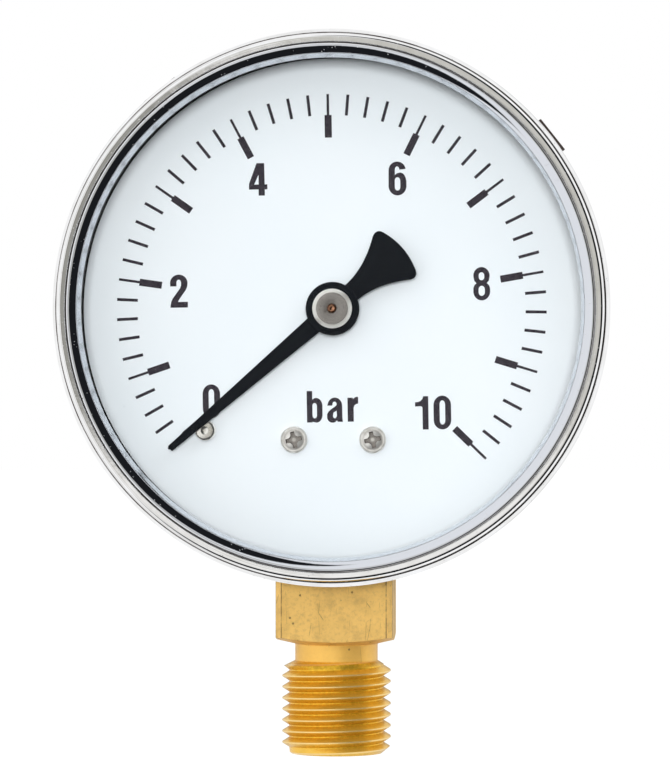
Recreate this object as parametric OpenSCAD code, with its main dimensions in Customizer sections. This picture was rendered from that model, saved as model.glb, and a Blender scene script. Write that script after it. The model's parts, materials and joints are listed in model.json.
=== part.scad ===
// Bourdon-tube pressure gauge, 63 mm nominal size, bottom entry, with a parallel pipe-thread stem.
// Millimetres. Origin: centre of the stem's end face, on the stem axis. +Z up, the dial faces -Y.
// Stations along Y are measured from the stem axis; a reach forward is towards -Y.

/* [Overall] */
// Height of the dial centre above the stem's end face
axis_h = 53.6; // [50:0.1:58]
// Outside radius of the case behind the ring
case_r = 31.3; // [30:0.1:38]
// Depth of the case's mouth, dial seat to front rim
mouth_depth = 6; // [5.2:0.1:8]
// Height of the ring's crest in front of the glass
ring_rise = 2.5; // [2:0.1:3.2]

/* [Stem] */
// Width across the wrench flats
flats_w = 14; // [12:0.5:17]
// Step in at the sides from the wrench flats to the block inside the case
block_step = 0.25; // [0.1:0.05:0.5]
// Chamfer on the upright edges of the square
flats_chamfer = 0.7; // [0.3:0.1:1.2]
// Length of the thread
thread_len = 11.3; // [9:0.1:13]
// Crest radius of the thread
thread_r = 6.5785; // [6.3:0.0005:6.8]
// Depth of the thread
thread_depth = 0.856; // [0.5:0.001:1]
// Pitch of the thread, 19 to the inch
pitch = 1.337; // [0.9:0.001:1.5]
// Width of the flat on each crest
crest_w = 0.2; // [0.1:0.05:0.4]
// Height of the lead chamfer at the stem's end
lead_h = 0.9; // [0.5:0.1:1.5]
// Radius of the neck between thread and square
neck_r = 5; // [4.5:0.1:5.5]
// Length of the neck
neck_len = 2; // [1:0.1:3]
// Height of the turned cone under the square
shoulder_h = 1; // [0.5:0.1:1.6]
// Radius of the pressure inlet
inlet_r = 2.5; // [2:0.1:3]
// Depth of the pressure inlet
inlet_len = 8; // [6:0.5:10]
// Radius of the drilled passage up to the tube
passage_r = 1.25; // [0.8:0.05:1.5]
// Radius of the throttle screw
throttle_r = 1.7; // [1.3:0.1:2]
// Length of the throttle screw
throttle_len = 3; // [2:0.1:3.2]
// Radius of the throttle hole
throttle_hole_r = 0.3; // [0.2:0.05:0.5]
// Dial centre down to the top of the full square block
step_drop = 20.2; // [19.8:0.1:21]
// Dial centre down to the top of the movement seat
seat_drop = 9.5; // [9:0.1:10]
// Stem axis back to the front of the movement seat
seat_back = 0.2; // [0.1:0.1:0.4]

/* [Case] */
// Radial step up to the collar that the ring slides over
collar_step = 1; // [0.7:0.1:1.4]
// Dial seat forward to the rear of the collar
collar_lead = 0.3; // [0.1:0.1:1]
// Wall of the case in front of the dial
mouth_wall = 2.2; // [1.8:0.05:2.4]
// Wall of the case behind the dial
pot_wall = 2.3; // [2:0.1:2.6]
// Thickness of the back wall
back_wall = 2; // [1.6:0.1:2.4]
// Outer edge radius of the back
back_edge = 2; // [1:0.1:2]
// Angle of the first snap lug
lug_angle = 38.3; // [30:0.1:50]
// Number of snap lugs
lug_count = 4; // [3:1:4]
// Height of the lugs on the collar
lug_rise = 1.05; // [0.9:0.05:1.3]
// Height of the two lower lugs, which stay inside the ring
low_lug_rise = 0.45; // [0.3:0.05:1.3]
// Width of a lug round the case
lug_w = 4.6; // [3.5:0.1:5]
// Length of a lug along the axis
lug_len = 2; // [1.5:0.1:2.2]
// Front rim back to the middle of the lugs
lug_setback = 2.8; // [2.4:0.1:3.2]
// Dial centre down to the case screws
case_screw_drop = 17; // [16.6:0.1:17.4]
// Half spacing of the case screws
case_screw_x = 4.2; // [3.8:0.1:4.6]
// Thread radius of the case screws
case_screw_r = 1.25; // [1.1:0.05:1.3]
// Head radius of the case screws
case_screw_head_r = 2.4; // [2:0.1:2.6]
// Head height of the case screws
case_screw_head_h = 1.4; // [1:0.1:1.6]
// Radius of the blow-out hole
vent_r = 5; // [4:0.1:5.5]
// Dial centre up to the blow-out hole
vent_rise = 15; // [13:0.1:16]

/* [Ring] */
// Thickness of the ring's metal
sheet = 0.45; // [0.4:0.05:0.5]
// Thickness of the ring's skirt
skirt_wall = 0.5; // [0.4:0.05:0.6]
// Rear of the collar forward to the rear edge of the skirt
skirt_gap = 0.3; // [0.1:0.1:1]
// Front rim forward to the shoulder of the skirt
shoulder_rise = 1.2; // [0.9:0.1:1.5]
// Radial step from the skirt in to the front bead
bead_inset = 0.85; // [0.7:0.05:1]
// Section radius of the bead
bead_round = 0.55; // [0.5:0.01:0.6]
// Radial step from the bead in to the inner lip
bead_w = 1.15; // [1:0.05:1.4]
// Radial width of the inner lip
lip_w = 1.4; // [1.1:0.05:1.8]

/* [Window] */
// Thickness of the glass
glass_t = 1.5; // [1.2:0.1:2]
// Edge of the glass inside the edge of the collar
glass_inset = 0.4; // [0.3:0.05:0.8]
// Thickness of the gasket
gasket_t = 0.5; // [0.3:0.1:0.5]

/* [Dial] */
// Thickness of the dial plate
dial_t = 0.5; // [0.3:0.1:0.5]
// Radius of the dial's centre hole
dial_hole_r = 1.75; // [1.5:0.05:2]
// Half spacing of the dial screws
dial_screw_x = 4.7; // [4.2:0.1:5]
// Dial centre down to the dial screws
dial_screw_drop = 15.6; // [15.4:0.1:15.8]
// Head radius of the dial screws
dial_screw_head_r = 1.62; // [1.4:0.02:1.8]
// Head height of the dial screws
dial_screw_head_h = 1.1; // [0.8:0.1:1.3]
// Thread radius of the dial screws
dial_screw_r = 0.8; // [0.7:0.05:0.9]
// Radius of the posts behind the dial
post_r = 1.8; // [1.6:0.05:1.8]
// Radius of the stop pin's head
stop_r = 1.2; // [1:0.05:1.25]
// Straight height of the stop pin's head
stop_h = 0.9; // [0.7:0.05:0.9]
// Height of the stop pin's dome
stop_dome_h = 1; // [0.9:0.05:1.05]
// Radius of the stop pin's rivet
stop_rivet_r = 0.8; // [0.6:0.05:0.9]
// Dial centre to the stop pin, along the resting pointer
stop_along = 21.0095; // [18:0.01:23]
// Stop pin's centre to the side of the resting pointer's middle line
stop_side = 1.0592; // [1.03:0.01:1.2]

/* [Pointer] */
// Pointer angle at zero pressure, from +X towards +Z
rest_angle = 220.65; // [220:0.05:221]
// Pointer turn from zero to full scale
pointer_sweep = 264.5; // [250:0.5:270]
// Hub to tip
pointer_len = 25.6; // [24:0.1:26]
// Half width of the blade at the hub
blade_root_w = 1.16; // [1:0.02:1.3]
// Half width of the blade at the tip
blade_tip_w = 0.36; // [0.25:0.01:0.4]
// Hub to the end of the counterweight
tail_len = 11.02; // [10:0.01:12]
// Radius of the counterweight's curved end
tail_round = 8.4; // [7:0.1:11]
// Middle line to the centre of the counterweight's rounded corners
tail_corner_v = 2.8; // [2.4:0.05:3]
// Thickness of the blade
blade_t = 0.4; // [0.3:0.05:0.5]
// Radius of the black hub
hub_r = 3.18; // [3:0.02:3.4]
// Thickness of the black hub
hub_t = 0.9; // [0.8:0.05:1]
// Radius of the bush's head
bush_r = 2.35; // [2.1:0.05:2.5]
// Height of the bush's head
bush_h = 1.15; // [0.8:0.05:1.3]
// Chamfer on the bush's head
bush_chamfer = 0.45; // [0.2:0.05:0.5]
// Radius of the bush's spigot
bush_spigot_r = 1.45; // [1.2:0.05:1.5]
// Dial face forward to the back of the blade
pointer_lift = 1.83; // [1.83:0.01:1.88]

/* [Movement] */
// Module of the gears
gear_module = 0.25; // [0.24:0.005:0.26]
// Teeth on the pinion
pinion_teeth = 12; // [11:1:13]
// Teeth on the full circle of the sector
sector_full_teeth = 108; // [104:1:112]
// Teeth cut on the sector
sector_teeth = 15; // [15:1:17]
// Pressure angle
pressure_angle = 20; // [18:1:22]
// Profile shift of the pinion
tooth_shift = 0.35; // [0.3:0.01:0.4]
// Thickness of the plates
plate_t = 0.8; // [0.6:0.1:0.8]
// Edge radius of the plates round each pillar
plate_edge = 1.5; // [1.3:0.1:1.5]
// Dial's back to the front plate
plate_gap = 1.1; // [1:0.05:1.2]
// Thickness of the sector
sector_t = 0.8; // [0.6:0.1:0.8]
// Thickness of the pinion's teeth
pinion_t = 1.2; // [1:0.1:1.2]
// Radius of the pinion arbor
arbor_r = 0.6; // [0.5:0.05:0.65]
// Radius of the arbor's front end
arbor_nose_r = 0.5; // [0.4:0.05:0.5]
// Radius of the arbor's rear pivot
pivot_r = 0.4; // [0.3:0.05:0.45]
// Radius of the sector arbor
sector_arbor_r = 0.9; // [0.7:0.05:1]
// Radius of the pillars
pillar_r = 1.1; // [0.9:0.05:1.1]
// Length of the sector's tail
tail_arm = 5; // [4.6:0.1:5.4]
// Angle of the sector's tail at zero pressure
tail_angle = -41.2; // [-42:0.1:-40]
// Radius of the linkage pins
link_pin_r = 0.4; // [0.35:0.01:0.4]
// Thickness of the link
link_t = 0.5; // [0.4:0.05:0.5]
// Outer radius of the hairspring
hairspring_r = 4.3; // [4:0.1:4.4]
// Turns of the hairspring
hairspring_turns = 4.5; // [4:0.5:5]
// Thickness of the hairspring strip
hairspring_t = 0.12; // [0.1:0.01:0.14]
// Width of the hairspring strip
hairspring_w = 0.45; // [0.35:0.05:0.5]
// Radius of the collet
collet_r = 1.15; // [1:0.05:1.2]

/* [Bourdon tube] */
// Mean radius of the tube's arc
tube_r = 22.5; // [21:0.1:25]
// Radial thickness of the tube
tube_w = 2.4; // [2:0.1:2.6]
// Axial width of the tube
tube_h = 5.6; // [5:0.1:5.6]
// Wall of the tube
tube_wall = 0.3; // [0.2:0.05:0.4]
// Angle of the tube's free end
tip_angle = -15; // [-17:1:-12]
// Tube's free end back to the link's pivot, sideways and down
tip_inset = [2.13333, 1.77657];
// Angle of the tube's root end, inside the block
root_angle = 262; // [260:1:264]

/* [Fits] */
// Radial clearance of a turning pin
run_fit = 0.03; // [0.02:0.01:0.06]
// Radial clearance between the collar and the ring
ring_fit = 0.1; // [0.05:0.01:0.15]
// Radial clearance round the dial plate
dial_fit = 0.15; // [0.1:0.01:0.3]
// Clearance round a soldered or pressed-in piece
seat_fit = 0.04; // [0.02:0.01:0.05]
// Radial clearance at the open end of the link
open_fit = 0.16; // [0.14:0.01:0.2]
// Clearance between the block and the case
block_fit = 0.05; // [0.03:0.01:0.1]
// Backlash of the gears at the pitch circle
backlash = 0.07; // [0.05:0.01:0.1]

/* [Hidden] */
$fn = 96;

// radii about the dial axis
collar_r = case_r + collar_step;
mouth_r = collar_r - mouth_wall;
pot_r = case_r - pot_wall;
lug_r = collar_r + lug_rise;
low_lug_r = collar_r + low_lug_rise;
ring_r = collar_r + ring_fit + skirt_wall;
bead_r = ring_r - bead_inset;
lip_r = bead_r - bead_w;
throat_r = lip_r - lip_w;
glass_r = collar_r - glass_inset;
dial_r = mouth_r - dial_fit;

// stations along Y: the block fills the case from the dial to the back wall
dial_back_y = -flats_w / 2;
dial_y = dial_back_y - dial_t;
collar_y = dial_back_y - collar_lead;
skirt_y = collar_y - skirt_gap;
rim_y = dial_back_y - mouth_depth;
lug_y = rim_y + lug_setback;
shoulder_y = rim_y - shoulder_rise;
glass_back_y = rim_y - gasket_t;
glass_front_y = glass_back_y - glass_t;
crest_y = glass_front_y - ring_rise;
inner_back_y = flats_w / 2;
back_y = inner_back_y + back_wall;
front_plate_y = dial_back_y + plate_gap;
back_plate_y = seat_back - plate_t;
blade_y = dial_y - pointer_lift;
hub_y = blade_y - hub_t;
bush_y = hub_y - bush_h;
arbor_y = bush_y - 0.15;
sector_y = front_plate_y + 2.6;
pinion_y = sector_y - 0.2;
link_y = sector_y + sector_t + 0.1;
hairspring_y = front_plate_y + plate_t + 0.35;
tube_y = seat_back + 0.6 + tube_h / 2;

// stations along Z
thread_top = thread_len;
square_bottom = thread_len + neck_len;
step_z = axis_h - step_drop;
seat_z = axis_h - seat_drop;
case_bottom_z = axis_h - case_r;
flat_top_z = case_bottom_z - 0.3;
block_w = flats_w - 2 * block_step;

// gears
pinion_pr = gear_module * pinion_teeth / 2;
sector_pr = gear_module * sector_full_teeth / 2;
centre_dist = pinion_pr + sector_pr;
ratio = sector_full_teeth / pinion_teeth;
sector_pivot = [9.5, -sqrt(centre_dist * centre_dist - 9.5 * 9.5)];
mesh_angle = atan2(-sector_pivot[1], -sector_pivot[0]);
tooth_step = 360 / sector_full_teeth;
tail_end = sector_pivot + tail_arm * [cos(tail_angle), sin(tail_angle)];
tip_pivot = tube_r * [cos(tip_angle), sin(tip_angle)] - tip_inset;

// plates
pillar_a = [-4.6, -11.8];
pillar_b = [12.6, -3.2];
pillar_c = [-4.6, 3.4];
pillars = [pillar_a, pillar_b, pillar_c];
seat_screws = [[-0.5, -11.6], [4.8, -11.6]];
stud_at = [cos(200), sin(200)] * (hairspring_r + hairspring_t / 2 + 0.46);
stop_at = stop_along * [cos(rest_angle), sin(rest_angle)] + stop_side * [-sin(rest_angle), cos(rest_angle)];

// Front-view outline given a thickness between two stations
module slab(y0, y1) {
  translate([0, y1, axis_h])
  rotate([90, 0, 0])
  linear_extrude(y1 - y0)
  children();
}

// A round bar along Y at a front-view point
module rod(at, r, y0, y1) {
  translate([at[0], y1, axis_h + at[1]])
  rotate([90, 0, 0])
  cylinder(r = r, h = y1 - y0);
}

// A body turned about the dial axis from [radius, station] points
module turned(points) {
  translate([0, 0, axis_h])
  rotate([90, 0, 0])
  rotate_extrude($fn = 180)
  polygon([for (p = points) [p[0], -p[1]]]);
}

// A flat strip with round ends
module strip(p, q, w) {
  len = norm(q - p);
  translate(p)
  rotate(atan2(q[1] - p[1], q[0] - p[0])) {
    translate([0, -w])
    square([len, 2 * w]);
    circle(w, $fn = 48);
    translate([len, 0])
    circle(w, $fn = 48);
  }
}

// Points of an arc in [radius, station] terms
function arc(cr, cy, rr, ry, a0, a1, n) =
  [for (i = [0:n]) [cr + rr * cos(a0 + (a1 - a0) * i / n), cy - ry * sin(a0 + (a1 - a0) * i / n)]];

// ---- case ----

module case_shell() {
  edge = arc(case_r - back_edge, back_y - back_edge, back_edge, back_edge, -90, 0, 10);
  turned(concat([[0, back_y]], edge,
    [[case_r, collar_y + 0.7], [collar_r, collar_y], [collar_r, rim_y],
     [mouth_r, rim_y], [mouth_r, dial_back_y], [pot_r, dial_back_y], [pot_r, inner_back_y],
     [0, inner_back_y]]));
}

module lug(reach) {
  translate([0, 0, axis_h])
  rotate([0, -lug_angle, 0])
  translate([collar_r - 0.6, lug_y - lug_len / 2, -lug_w / 2])
  linear_extrude(lug_w)
  polygon([[0, 0], [reach - collar_r + 0.2, 0.7], [reach - collar_r + 0.6, 1.1],
    [reach - collar_r + 0.6, lug_len], [0, lug_len]]);
}

module case() {
  color([0.06, 0.055, 0.055])
  difference() {
    union() {
      case_shell();
      for (k = [0:lug_count - 1])
      translate([0, 0, axis_h])
      rotate([0, -360 / lug_count * k, 0])
      translate([0, 0, -axis_h])
      lug(k < 2 ? lug_r : low_lug_r);
    }
    translate([-block_w / 2 - block_fit, dial_back_y - block_fit, case_bottom_z - 2])
    cube([block_w + 2 * block_fit, inner_back_y - dial_back_y + block_fit, 10]);
    rod([0, vent_rise], vent_r, inner_back_y - 1, back_y + 1);
    for (s = [-1, 1])
    rod([s * case_screw_x, -case_screw_drop], case_screw_r + 0.35, inner_back_y - 1, back_y + 1);
  }
}

module case_screw() {
  rotate([90, 0, 0]) {
    cylinder(r = case_screw_r - seat_fit, h = back_wall + 3.6);
    difference() {
      translate([0, 0, -case_screw_head_h])
      cylinder(r1 = case_screw_head_r - 0.5, r2 = case_screw_head_r, h = case_screw_head_h);
      for (a = [0, 90])
      rotate(a)
      translate([-1.4, -0.3, -case_screw_head_h - 0.1])
      cube([2.8, 0.6, 1]);
    }
  }
}

module case_screws() {
  color([0.75, 0.74, 0.7])
  for (s = [-1, 1])
  translate([s * case_screw_x, back_y, axis_h - case_screw_drop])
  case_screw();
}

module blow_out_plug() {
  color([0.08, 0.08, 0.08])
  translate([0, 0, vent_rise])
  turned([[0, inner_back_y - 0.1], [vent_r + 0.35, inner_back_y - 0.1], [vent_r + 0.35, inner_back_y],
    [vent_r - seat_fit, inner_back_y], [vent_r - seat_fit, back_y],
    [vent_r + 1, back_y], [vent_r + 1, back_y + 0.5], [vent_r + 0.6, back_y + 0.9],
    [0, back_y + 0.9]]);
}

// ---- ring and window ----

module ring_profile_body() {
  bead_cr = bead_r - bead_round;
  bead_cy = crest_y + bead_round;
  lip_y = crest_y + 0.3;
  fall = glass_front_y - lip_y;
  outer_bead = arc(bead_cr, bead_cy, bead_round, bead_round, 10, 140, 16);
  outer_lip = arc(lip_r, glass_front_y, throat_r - lip_r, fall, 90, 0, 18);
  inner_lip = arc(lip_r, glass_front_y, throat_r - lip_r + sheet, fall - sheet, 0, 80, 12);
  turned(concat(
    [[ring_r, skirt_y], [ring_r, shoulder_y], [ring_r - 0.15, shoulder_y - 0.8]],
    outer_bead, outer_lip, inner_lip,
    [[bead_cr, bead_cy + 0.1], [bead_cr + 0.2, bead_cy + 0.7],
     [ring_r - skirt_wall, shoulder_y], [ring_r - skirt_wall, skirt_y]]));
}

module bezel_ring() {
  color([0.8, 0.8, 0.82])
  difference() {
    ring_profile_body();
    for (k = [0:lug_count - 1])
    translate([0, 0, axis_h])
    rotate([0, -lug_angle - 360 / lug_count * k, 0])
    translate([collar_r - 1, lug_y - lug_len / 2 - 0.2, -lug_w / 2 - 0.2])
    cube([3, lug_len + 0.4, lug_w + 0.4]);
  }
}

module window() {
  color([0.85, 0.9, 0.92, 0.3])
  turned([[0, glass_front_y], [glass_r - 0.2, glass_front_y], [glass_r, glass_front_y + 0.2],
    [glass_r, glass_back_y - 0.2], [glass_r - 0.2, glass_back_y], [0, glass_back_y]]);
}

module window_gasket() {
  color([0.07, 0.07, 0.07])
  turned([[mouth_r, glass_back_y], [glass_r, glass_back_y], [glass_r, rim_y], [mouth_r, rim_y]]);
}

// ---- dial ----

module dial() {
  color([0.93, 0.94, 0.95])
  difference() {
    rod([0, 0], dial_r, dial_y, dial_back_y);
    rod([0, 0], dial_hole_r, dial_y - 1, dial_back_y + 1);
    for (s = [-1, 1])
    rod([s * dial_screw_x, -dial_screw_drop], dial_screw_r + 0.3, dial_y - 1, dial_back_y + 1);
    rod(stop_at, stop_rivet_r + seat_fit, dial_y - 1, dial_back_y + 1);
  }
}

module dial_screw() {
  cap_r = (pow(dial_screw_head_r, 2) + pow(0.6, 2)) / (2 * 0.6);
  rotate([90, 0, 0])
  difference() {
    union() {
      cylinder(r = dial_screw_head_r, h = dial_screw_head_h - 0.6, $fn = 48);
      intersection() {
        cylinder(r = dial_screw_head_r, h = dial_screw_head_h, $fn = 48);
        translate([0, 0, dial_screw_head_h - cap_r])
        sphere(r = cap_r, $fn = 96);
      }
      translate([0, 0, -4])
      cylinder(r = dial_screw_r, h = 4.2, $fn = 48);
    }
    for (a = [12, 102])
    rotate(a)
    translate([-1.05, -0.28, dial_screw_head_h - 0.65])
    cube([2.1, 0.56, 1]);
  }
}

module dial_screws() {
  color([0.76, 0.75, 0.72])
  for (s = [-1, 1])
  translate([s * dial_screw_x, dial_y, axis_h - dial_screw_drop])
  dial_screw();
}

module stop_pin() {
  cap_r = (stop_r * stop_r + stop_dome_h * stop_dome_h) / (2 * stop_dome_h);
  color([0.78, 0.76, 0.72])
  translate([stop_at[0], dial_y, axis_h + stop_at[1]])
  rotate([90, 0, 0]) {
    cylinder(r = stop_r, h = stop_h, $fn = 48);
    intersection() {
      cylinder(r = stop_r, h = stop_h + stop_dome_h, $fn = 48);
      translate([0, 0, stop_h + stop_dome_h - cap_r])
      sphere(r = cap_r, $fn = 96);
    }
    translate([0, 0, -dial_t - 0.3])
    cylinder(r = stop_rivet_r, h = dial_t + 0.4, $fn = 48);
  }
}

module dial_posts() {
  color([0.8, 0.62, 0.25])
  for (s = [-1, 1])
  difference() {
    union() {
      rod([s * dial_screw_x, -dial_screw_drop], post_r, dial_back_y, seat_back);
      rod([s * dial_screw_x, -dial_screw_drop], 1, seat_back - 0.1, seat_back + 2.4);
    }
    rod([s * dial_screw_x, -dial_screw_drop], dial_screw_r + seat_fit, dial_back_y - 1, dial_back_y + 4.2);
  }
}

// ---- pointer ----

function tail_w(u) = 1.15 + 0.067 * pow(max(0, u - 3), 1.92);

module pointer_outline() {
  corner_r = 0.75;
  corner_v = tail_corner_v;
  reach = tail_round - corner_r;
  end_u = tail_len - tail_round;
  corner_a = asin(corner_v / reach);
  corner_u = end_u + reach * cos(corner_a);
  side = [for (i = [0:10]) let(u = 1.5 + (corner_u - 1.93) * i / 10) [-u, tail_w(u)]];
  cap = [for (i = [0:12]) let(a = corner_a * (1 - i / 6)) [-end_u - tail_round * cos(a), tail_round * sin(a)]];
  mirrored = [for (i = [0:10]) [side[10 - i][0], -side[10 - i][1]]];
  tip_u = pointer_len - blade_tip_w;
  polygon([[0, blade_root_w], [tip_u, blade_tip_w], [tip_u, -blade_tip_w], [0, -blade_root_w]]);
  translate([tip_u, 0])
  circle(blade_tip_w, $fn = 24);
  polygon(concat(side, cap, mirrored));
  for (s = [-1, 1])
  translate([-corner_u, s * corner_v])
  circle(corner_r, $fn = 32);
}

module pointer() {
  color([0.03, 0.03, 0.035])
  difference() {
    union() {
      slab(blade_y - blade_t, blade_y)
      rotate(rest_angle)
      pointer_outline();
      rod([0, 0], hub_r, hub_y, blade_y);
    }
    rod([0, 0], bush_spigot_r + 0.02, hub_y - 1, blade_y + 1);
  }
}

module pointer_bush() {
  color([0.77, 0.75, 0.71])
  difference() {
    turned([[0, blade_y + 0.5], [bush_spigot_r, blade_y + 0.5], [bush_spigot_r, hub_y],
      [bush_r, hub_y], [bush_r, bush_y + bush_chamfer], [bush_r - bush_chamfer, bush_y], [0, bush_y]]);
    rod([0, 0], arbor_nose_r + 0.01, bush_y - 1, blade_y + 1);
  }
}

// ---- movement ----

// Involute helpers, angles in degrees
function inv(a) = tan(a) * 180 / PI - a;
function tooth_half(r, s, rho) =
  s / (2 * r) * 180 / PI + inv(pressure_angle) - inv(acos(min(1, r * cos(pressure_angle) / rho)));

// One tooth's outline about a centre: pitch radius, thickness, root and tip radii, tooth angle
function flank(r, s, root, tip, a, side) =
  let(low = max(root, r * cos(pressure_angle)))
  [for (i = [0:5]) let(rho = low + (tip - low) * i / 5, h = tooth_half(r, s, rho))
    rho * [cos(a + side * h), sin(a + side * h)]];

module tooth(r, s, root, tip, a) {
  low = max(root, r * cos(pressure_angle));
  h = tooth_half(r, s, low);
  left = flank(r, s, root, tip, a, 1);
  right = flank(r, s, root, tip, a, -1);
  deep = (root - 0.15) * [cos(a + h), sin(a + h)];
  deep2 = (root - 0.15) * [cos(a - h), sin(a - h)];
  polygon(concat([deep], left, [for (i = [0:5]) right[5 - i]], [deep2]));
}

module pinion_arbor() {
  s = gear_module * (PI / 2 + 2 * tooth_shift * tan(pressure_angle)) - backlash / 2;
  root = pinion_pr - gear_module * (1.25 - tooth_shift);
  tip = pinion_pr + gear_module * (0.95 + tooth_shift);
  color([0.72, 0.43, 0.26]) {
    rod([0, 0], arbor_r, front_plate_y + plate_t + 0.05, back_plate_y - 0.05);
    rod([0, 0], pivot_r, back_plate_y - 0.2, back_plate_y + plate_t - 0.05);
    rod([0, 0], arbor_r - 0.05, blade_y + 0.6, front_plate_y + plate_t + 0.2);
    rod([0, 0], arbor_nose_r, arbor_y, blade_y + 0.8);
    slab(pinion_y, pinion_y + pinion_t) {
      circle(root, $fn = 48);
      for (k = [0:pinion_teeth - 1])
      tooth(pinion_pr, s, root, tip, mesh_angle + 180 + 360 / pinion_teeth * k);
    }
  }
}

module hairspring_collet() {
  color([0.8, 0.62, 0.25])
  difference() {
    rod([0, 0], collet_r, hairspring_y - 0.12, hairspring_y + hairspring_w + 0.1);
    rod([0, 0], arbor_r + 0.01, hairspring_y - 1, hairspring_y + 2);
  }
}

module hairspring() {
  n = 36 * hairspring_turns;
  r0 = collet_r + hairspring_t / 2 + 0.01;
  grow = (hairspring_r - r0) / n;
  a1 = 200 - 360 * hairspring_turns;
  outer = [for (i = [0:n]) (r0 + grow * i + hairspring_t / 2) * [cos(a1 + 10 * i), sin(a1 + 10 * i)]];
  inner = [for (i = [0:n]) (r0 + grow * (n - i) - hairspring_t / 2) * [cos(200 - 10 * i), sin(200 - 10 * i)]];
  color([0.75, 0.6, 0.35])
  slab(hairspring_y, hairspring_y + hairspring_w)
  polygon(concat(outer, inner));
}

module hairspring_stud() {
  color([0.8, 0.62, 0.25])
  rod(stud_at, 0.45, front_plate_y + plate_t, hairspring_y + hairspring_w + 0.1);
}

module sector_gear() {
  s = gear_module * (PI / 2 - 2 * tooth_shift * tan(pressure_angle)) - backlash / 2;
  root = sector_pr - gear_module * (1.25 + tooth_shift);
  tip = sector_pr + gear_module * (0.95 - tooth_shift);
  first = mesh_angle + tooth_step * 2.5;
  mid = first - tooth_step * (sector_teeth - 1) / 2;
  half = tooth_step * (sector_teeth + 0.6) / 2;
  color([0.82, 0.64, 0.27])
  difference() {
    union() {
      slab(sector_y, sector_y + sector_t)
      translate(sector_pivot)
      difference() {
        intersection() {
          circle(root, $fn = 180);
          rotate(mid)
          polygon([[0, 0], 20 * [cos(half), -sin(half)], 20 * [cos(half), sin(half)]]);
        }
        intersection() {
          difference() {
            circle(root - 1.6, $fn = 180);
            circle(4.6, $fn = 96);
          }
          rotate(mid)
          polygon([[2.8, 0], 20 * [cos(half - 2), -sin(half - 2)], 20 * [cos(half - 2), sin(half - 2)]]);
        }
      }
      slab(sector_y, sector_y + sector_t)
      translate(sector_pivot)
      for (k = [0:sector_teeth - 1])
      tooth(sector_pr, s, root, tip, first - tooth_step * k);
      slab(sector_y, sector_y + sector_t)
      translate(sector_pivot) {
        circle(2.2, $fn = 64);
        strip([0, 0], tail_end - sector_pivot, 1.05);
      }
    }
    rod(sector_pivot, sector_arbor_r + 0.01, sector_y - 1, sector_y + 2);
    rod(tail_end, link_pin_r + 0.01, sector_y - 1, sector_y + 2);
  }
}

module sector_arbor() {
  color([0.7, 0.7, 0.7]) {
    rod(sector_pivot, sector_arbor_r, front_plate_y + plate_t + 0.05, back_plate_y - 0.05);
    rod(sector_pivot, pivot_r + 0.05, front_plate_y + 0.05, back_plate_y + plate_t - 0.05);
  }
}

module link() {
  color([0.8, 0.8, 0.78])
  difference() {
    slab(link_y, link_y + link_t) {
      strip(tail_end, tip_pivot, 0.55);
      translate(tail_end)
      circle(0.95, $fn = 48);
      translate(tip_pivot)
      circle(1.1, $fn = 48);
    }
    rod(tail_end, link_pin_r + run_fit, link_y - 1, link_y + 2);
    rod(tip_pivot, link_pin_r + open_fit, link_y - 1, link_y + 2);
  }
}

module link_pin() {
  color([0.7, 0.7, 0.7]) {
    rod(tail_end, link_pin_r, sector_y - 0.1, link_y + link_t + 0.2);
    rod(tail_end, 0.65, sector_y - 0.25, sector_y);
    rod(tail_end, 0.65, link_y + link_t + 0.08, link_y + link_t + 0.25);
  }
}

module tip_pin() {
  color([0.7, 0.7, 0.7]) {
    rod(tip_pivot, link_pin_r, link_y - 0.2, tube_y - tube_h / 2 + 1.2);
    rod(tip_pivot, 0.8, link_y - 0.25, link_y - 0.08);
  }
}

// Outline shared by both plates
module plate_outline() {
  polygon([pillar_a, sector_pivot, pillar_b, pillar_c]);
  strip(pillar_a, sector_pivot, plate_edge);
  strip(sector_pivot, pillar_b, plate_edge);
  strip(pillar_b, pillar_c, plate_edge);
  strip(pillar_c, pillar_a, plate_edge);
}

module front_plate() {
  color([0.82, 0.64, 0.27])
  difference() {
    slab(front_plate_y, front_plate_y + plate_t)
    plate_outline();
    rod([0, 0], arbor_r - 0.05 + run_fit, front_plate_y - 1, front_plate_y + 2);
    rod(sector_pivot, pivot_r + 0.05 + run_fit, front_plate_y - 1, front_plate_y + 2);
    for (p = pillars)
    rod(p, 0.6, front_plate_y - 1, front_plate_y + 2);
  }
}

module back_plate() {
  color([0.82, 0.64, 0.27])
  difference() {
    slab(back_plate_y, back_plate_y + plate_t)
    plate_outline();
    rod([0, 0], pivot_r + run_fit, back_plate_y - 1, back_plate_y + 2);
    rod(sector_pivot, pivot_r + 0.05 + run_fit, back_plate_y - 1, back_plate_y + 2);
    for (p = pillars)
    rod(p, 0.6 + seat_fit, back_plate_y - 1, back_plate_y + 2);
    for (p = seat_screws)
    rod(p, 0.9, back_plate_y - 1, back_plate_y + 2);
  }
}

module plate_pillars() {
  color([0.8, 0.62, 0.25])
  for (p = pillars)
  difference() {
    union() {
      rod(p, pillar_r, front_plate_y + plate_t, back_plate_y);
      rod(p, 0.6, back_plate_y - 0.1, back_plate_y + plate_t);
    }
    rod(p, 0.5 + seat_fit, front_plate_y, front_plate_y + plate_t + 2);
  }
}

module plate_screws() {
  color([0.75, 0.74, 0.7])
  for (p = pillars)
  difference() {
    union() {
      rod(p, 1.05, front_plate_y - 0.7, front_plate_y);
      rod(p, 0.5, front_plate_y - 0.1, front_plate_y + plate_t + 1.8);
    }
    translate([p[0] - 1.2, front_plate_y - 0.8, axis_h + p[1] - 0.15])
    cube([2.4, 0.4, 0.3]);
  }
}

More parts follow.
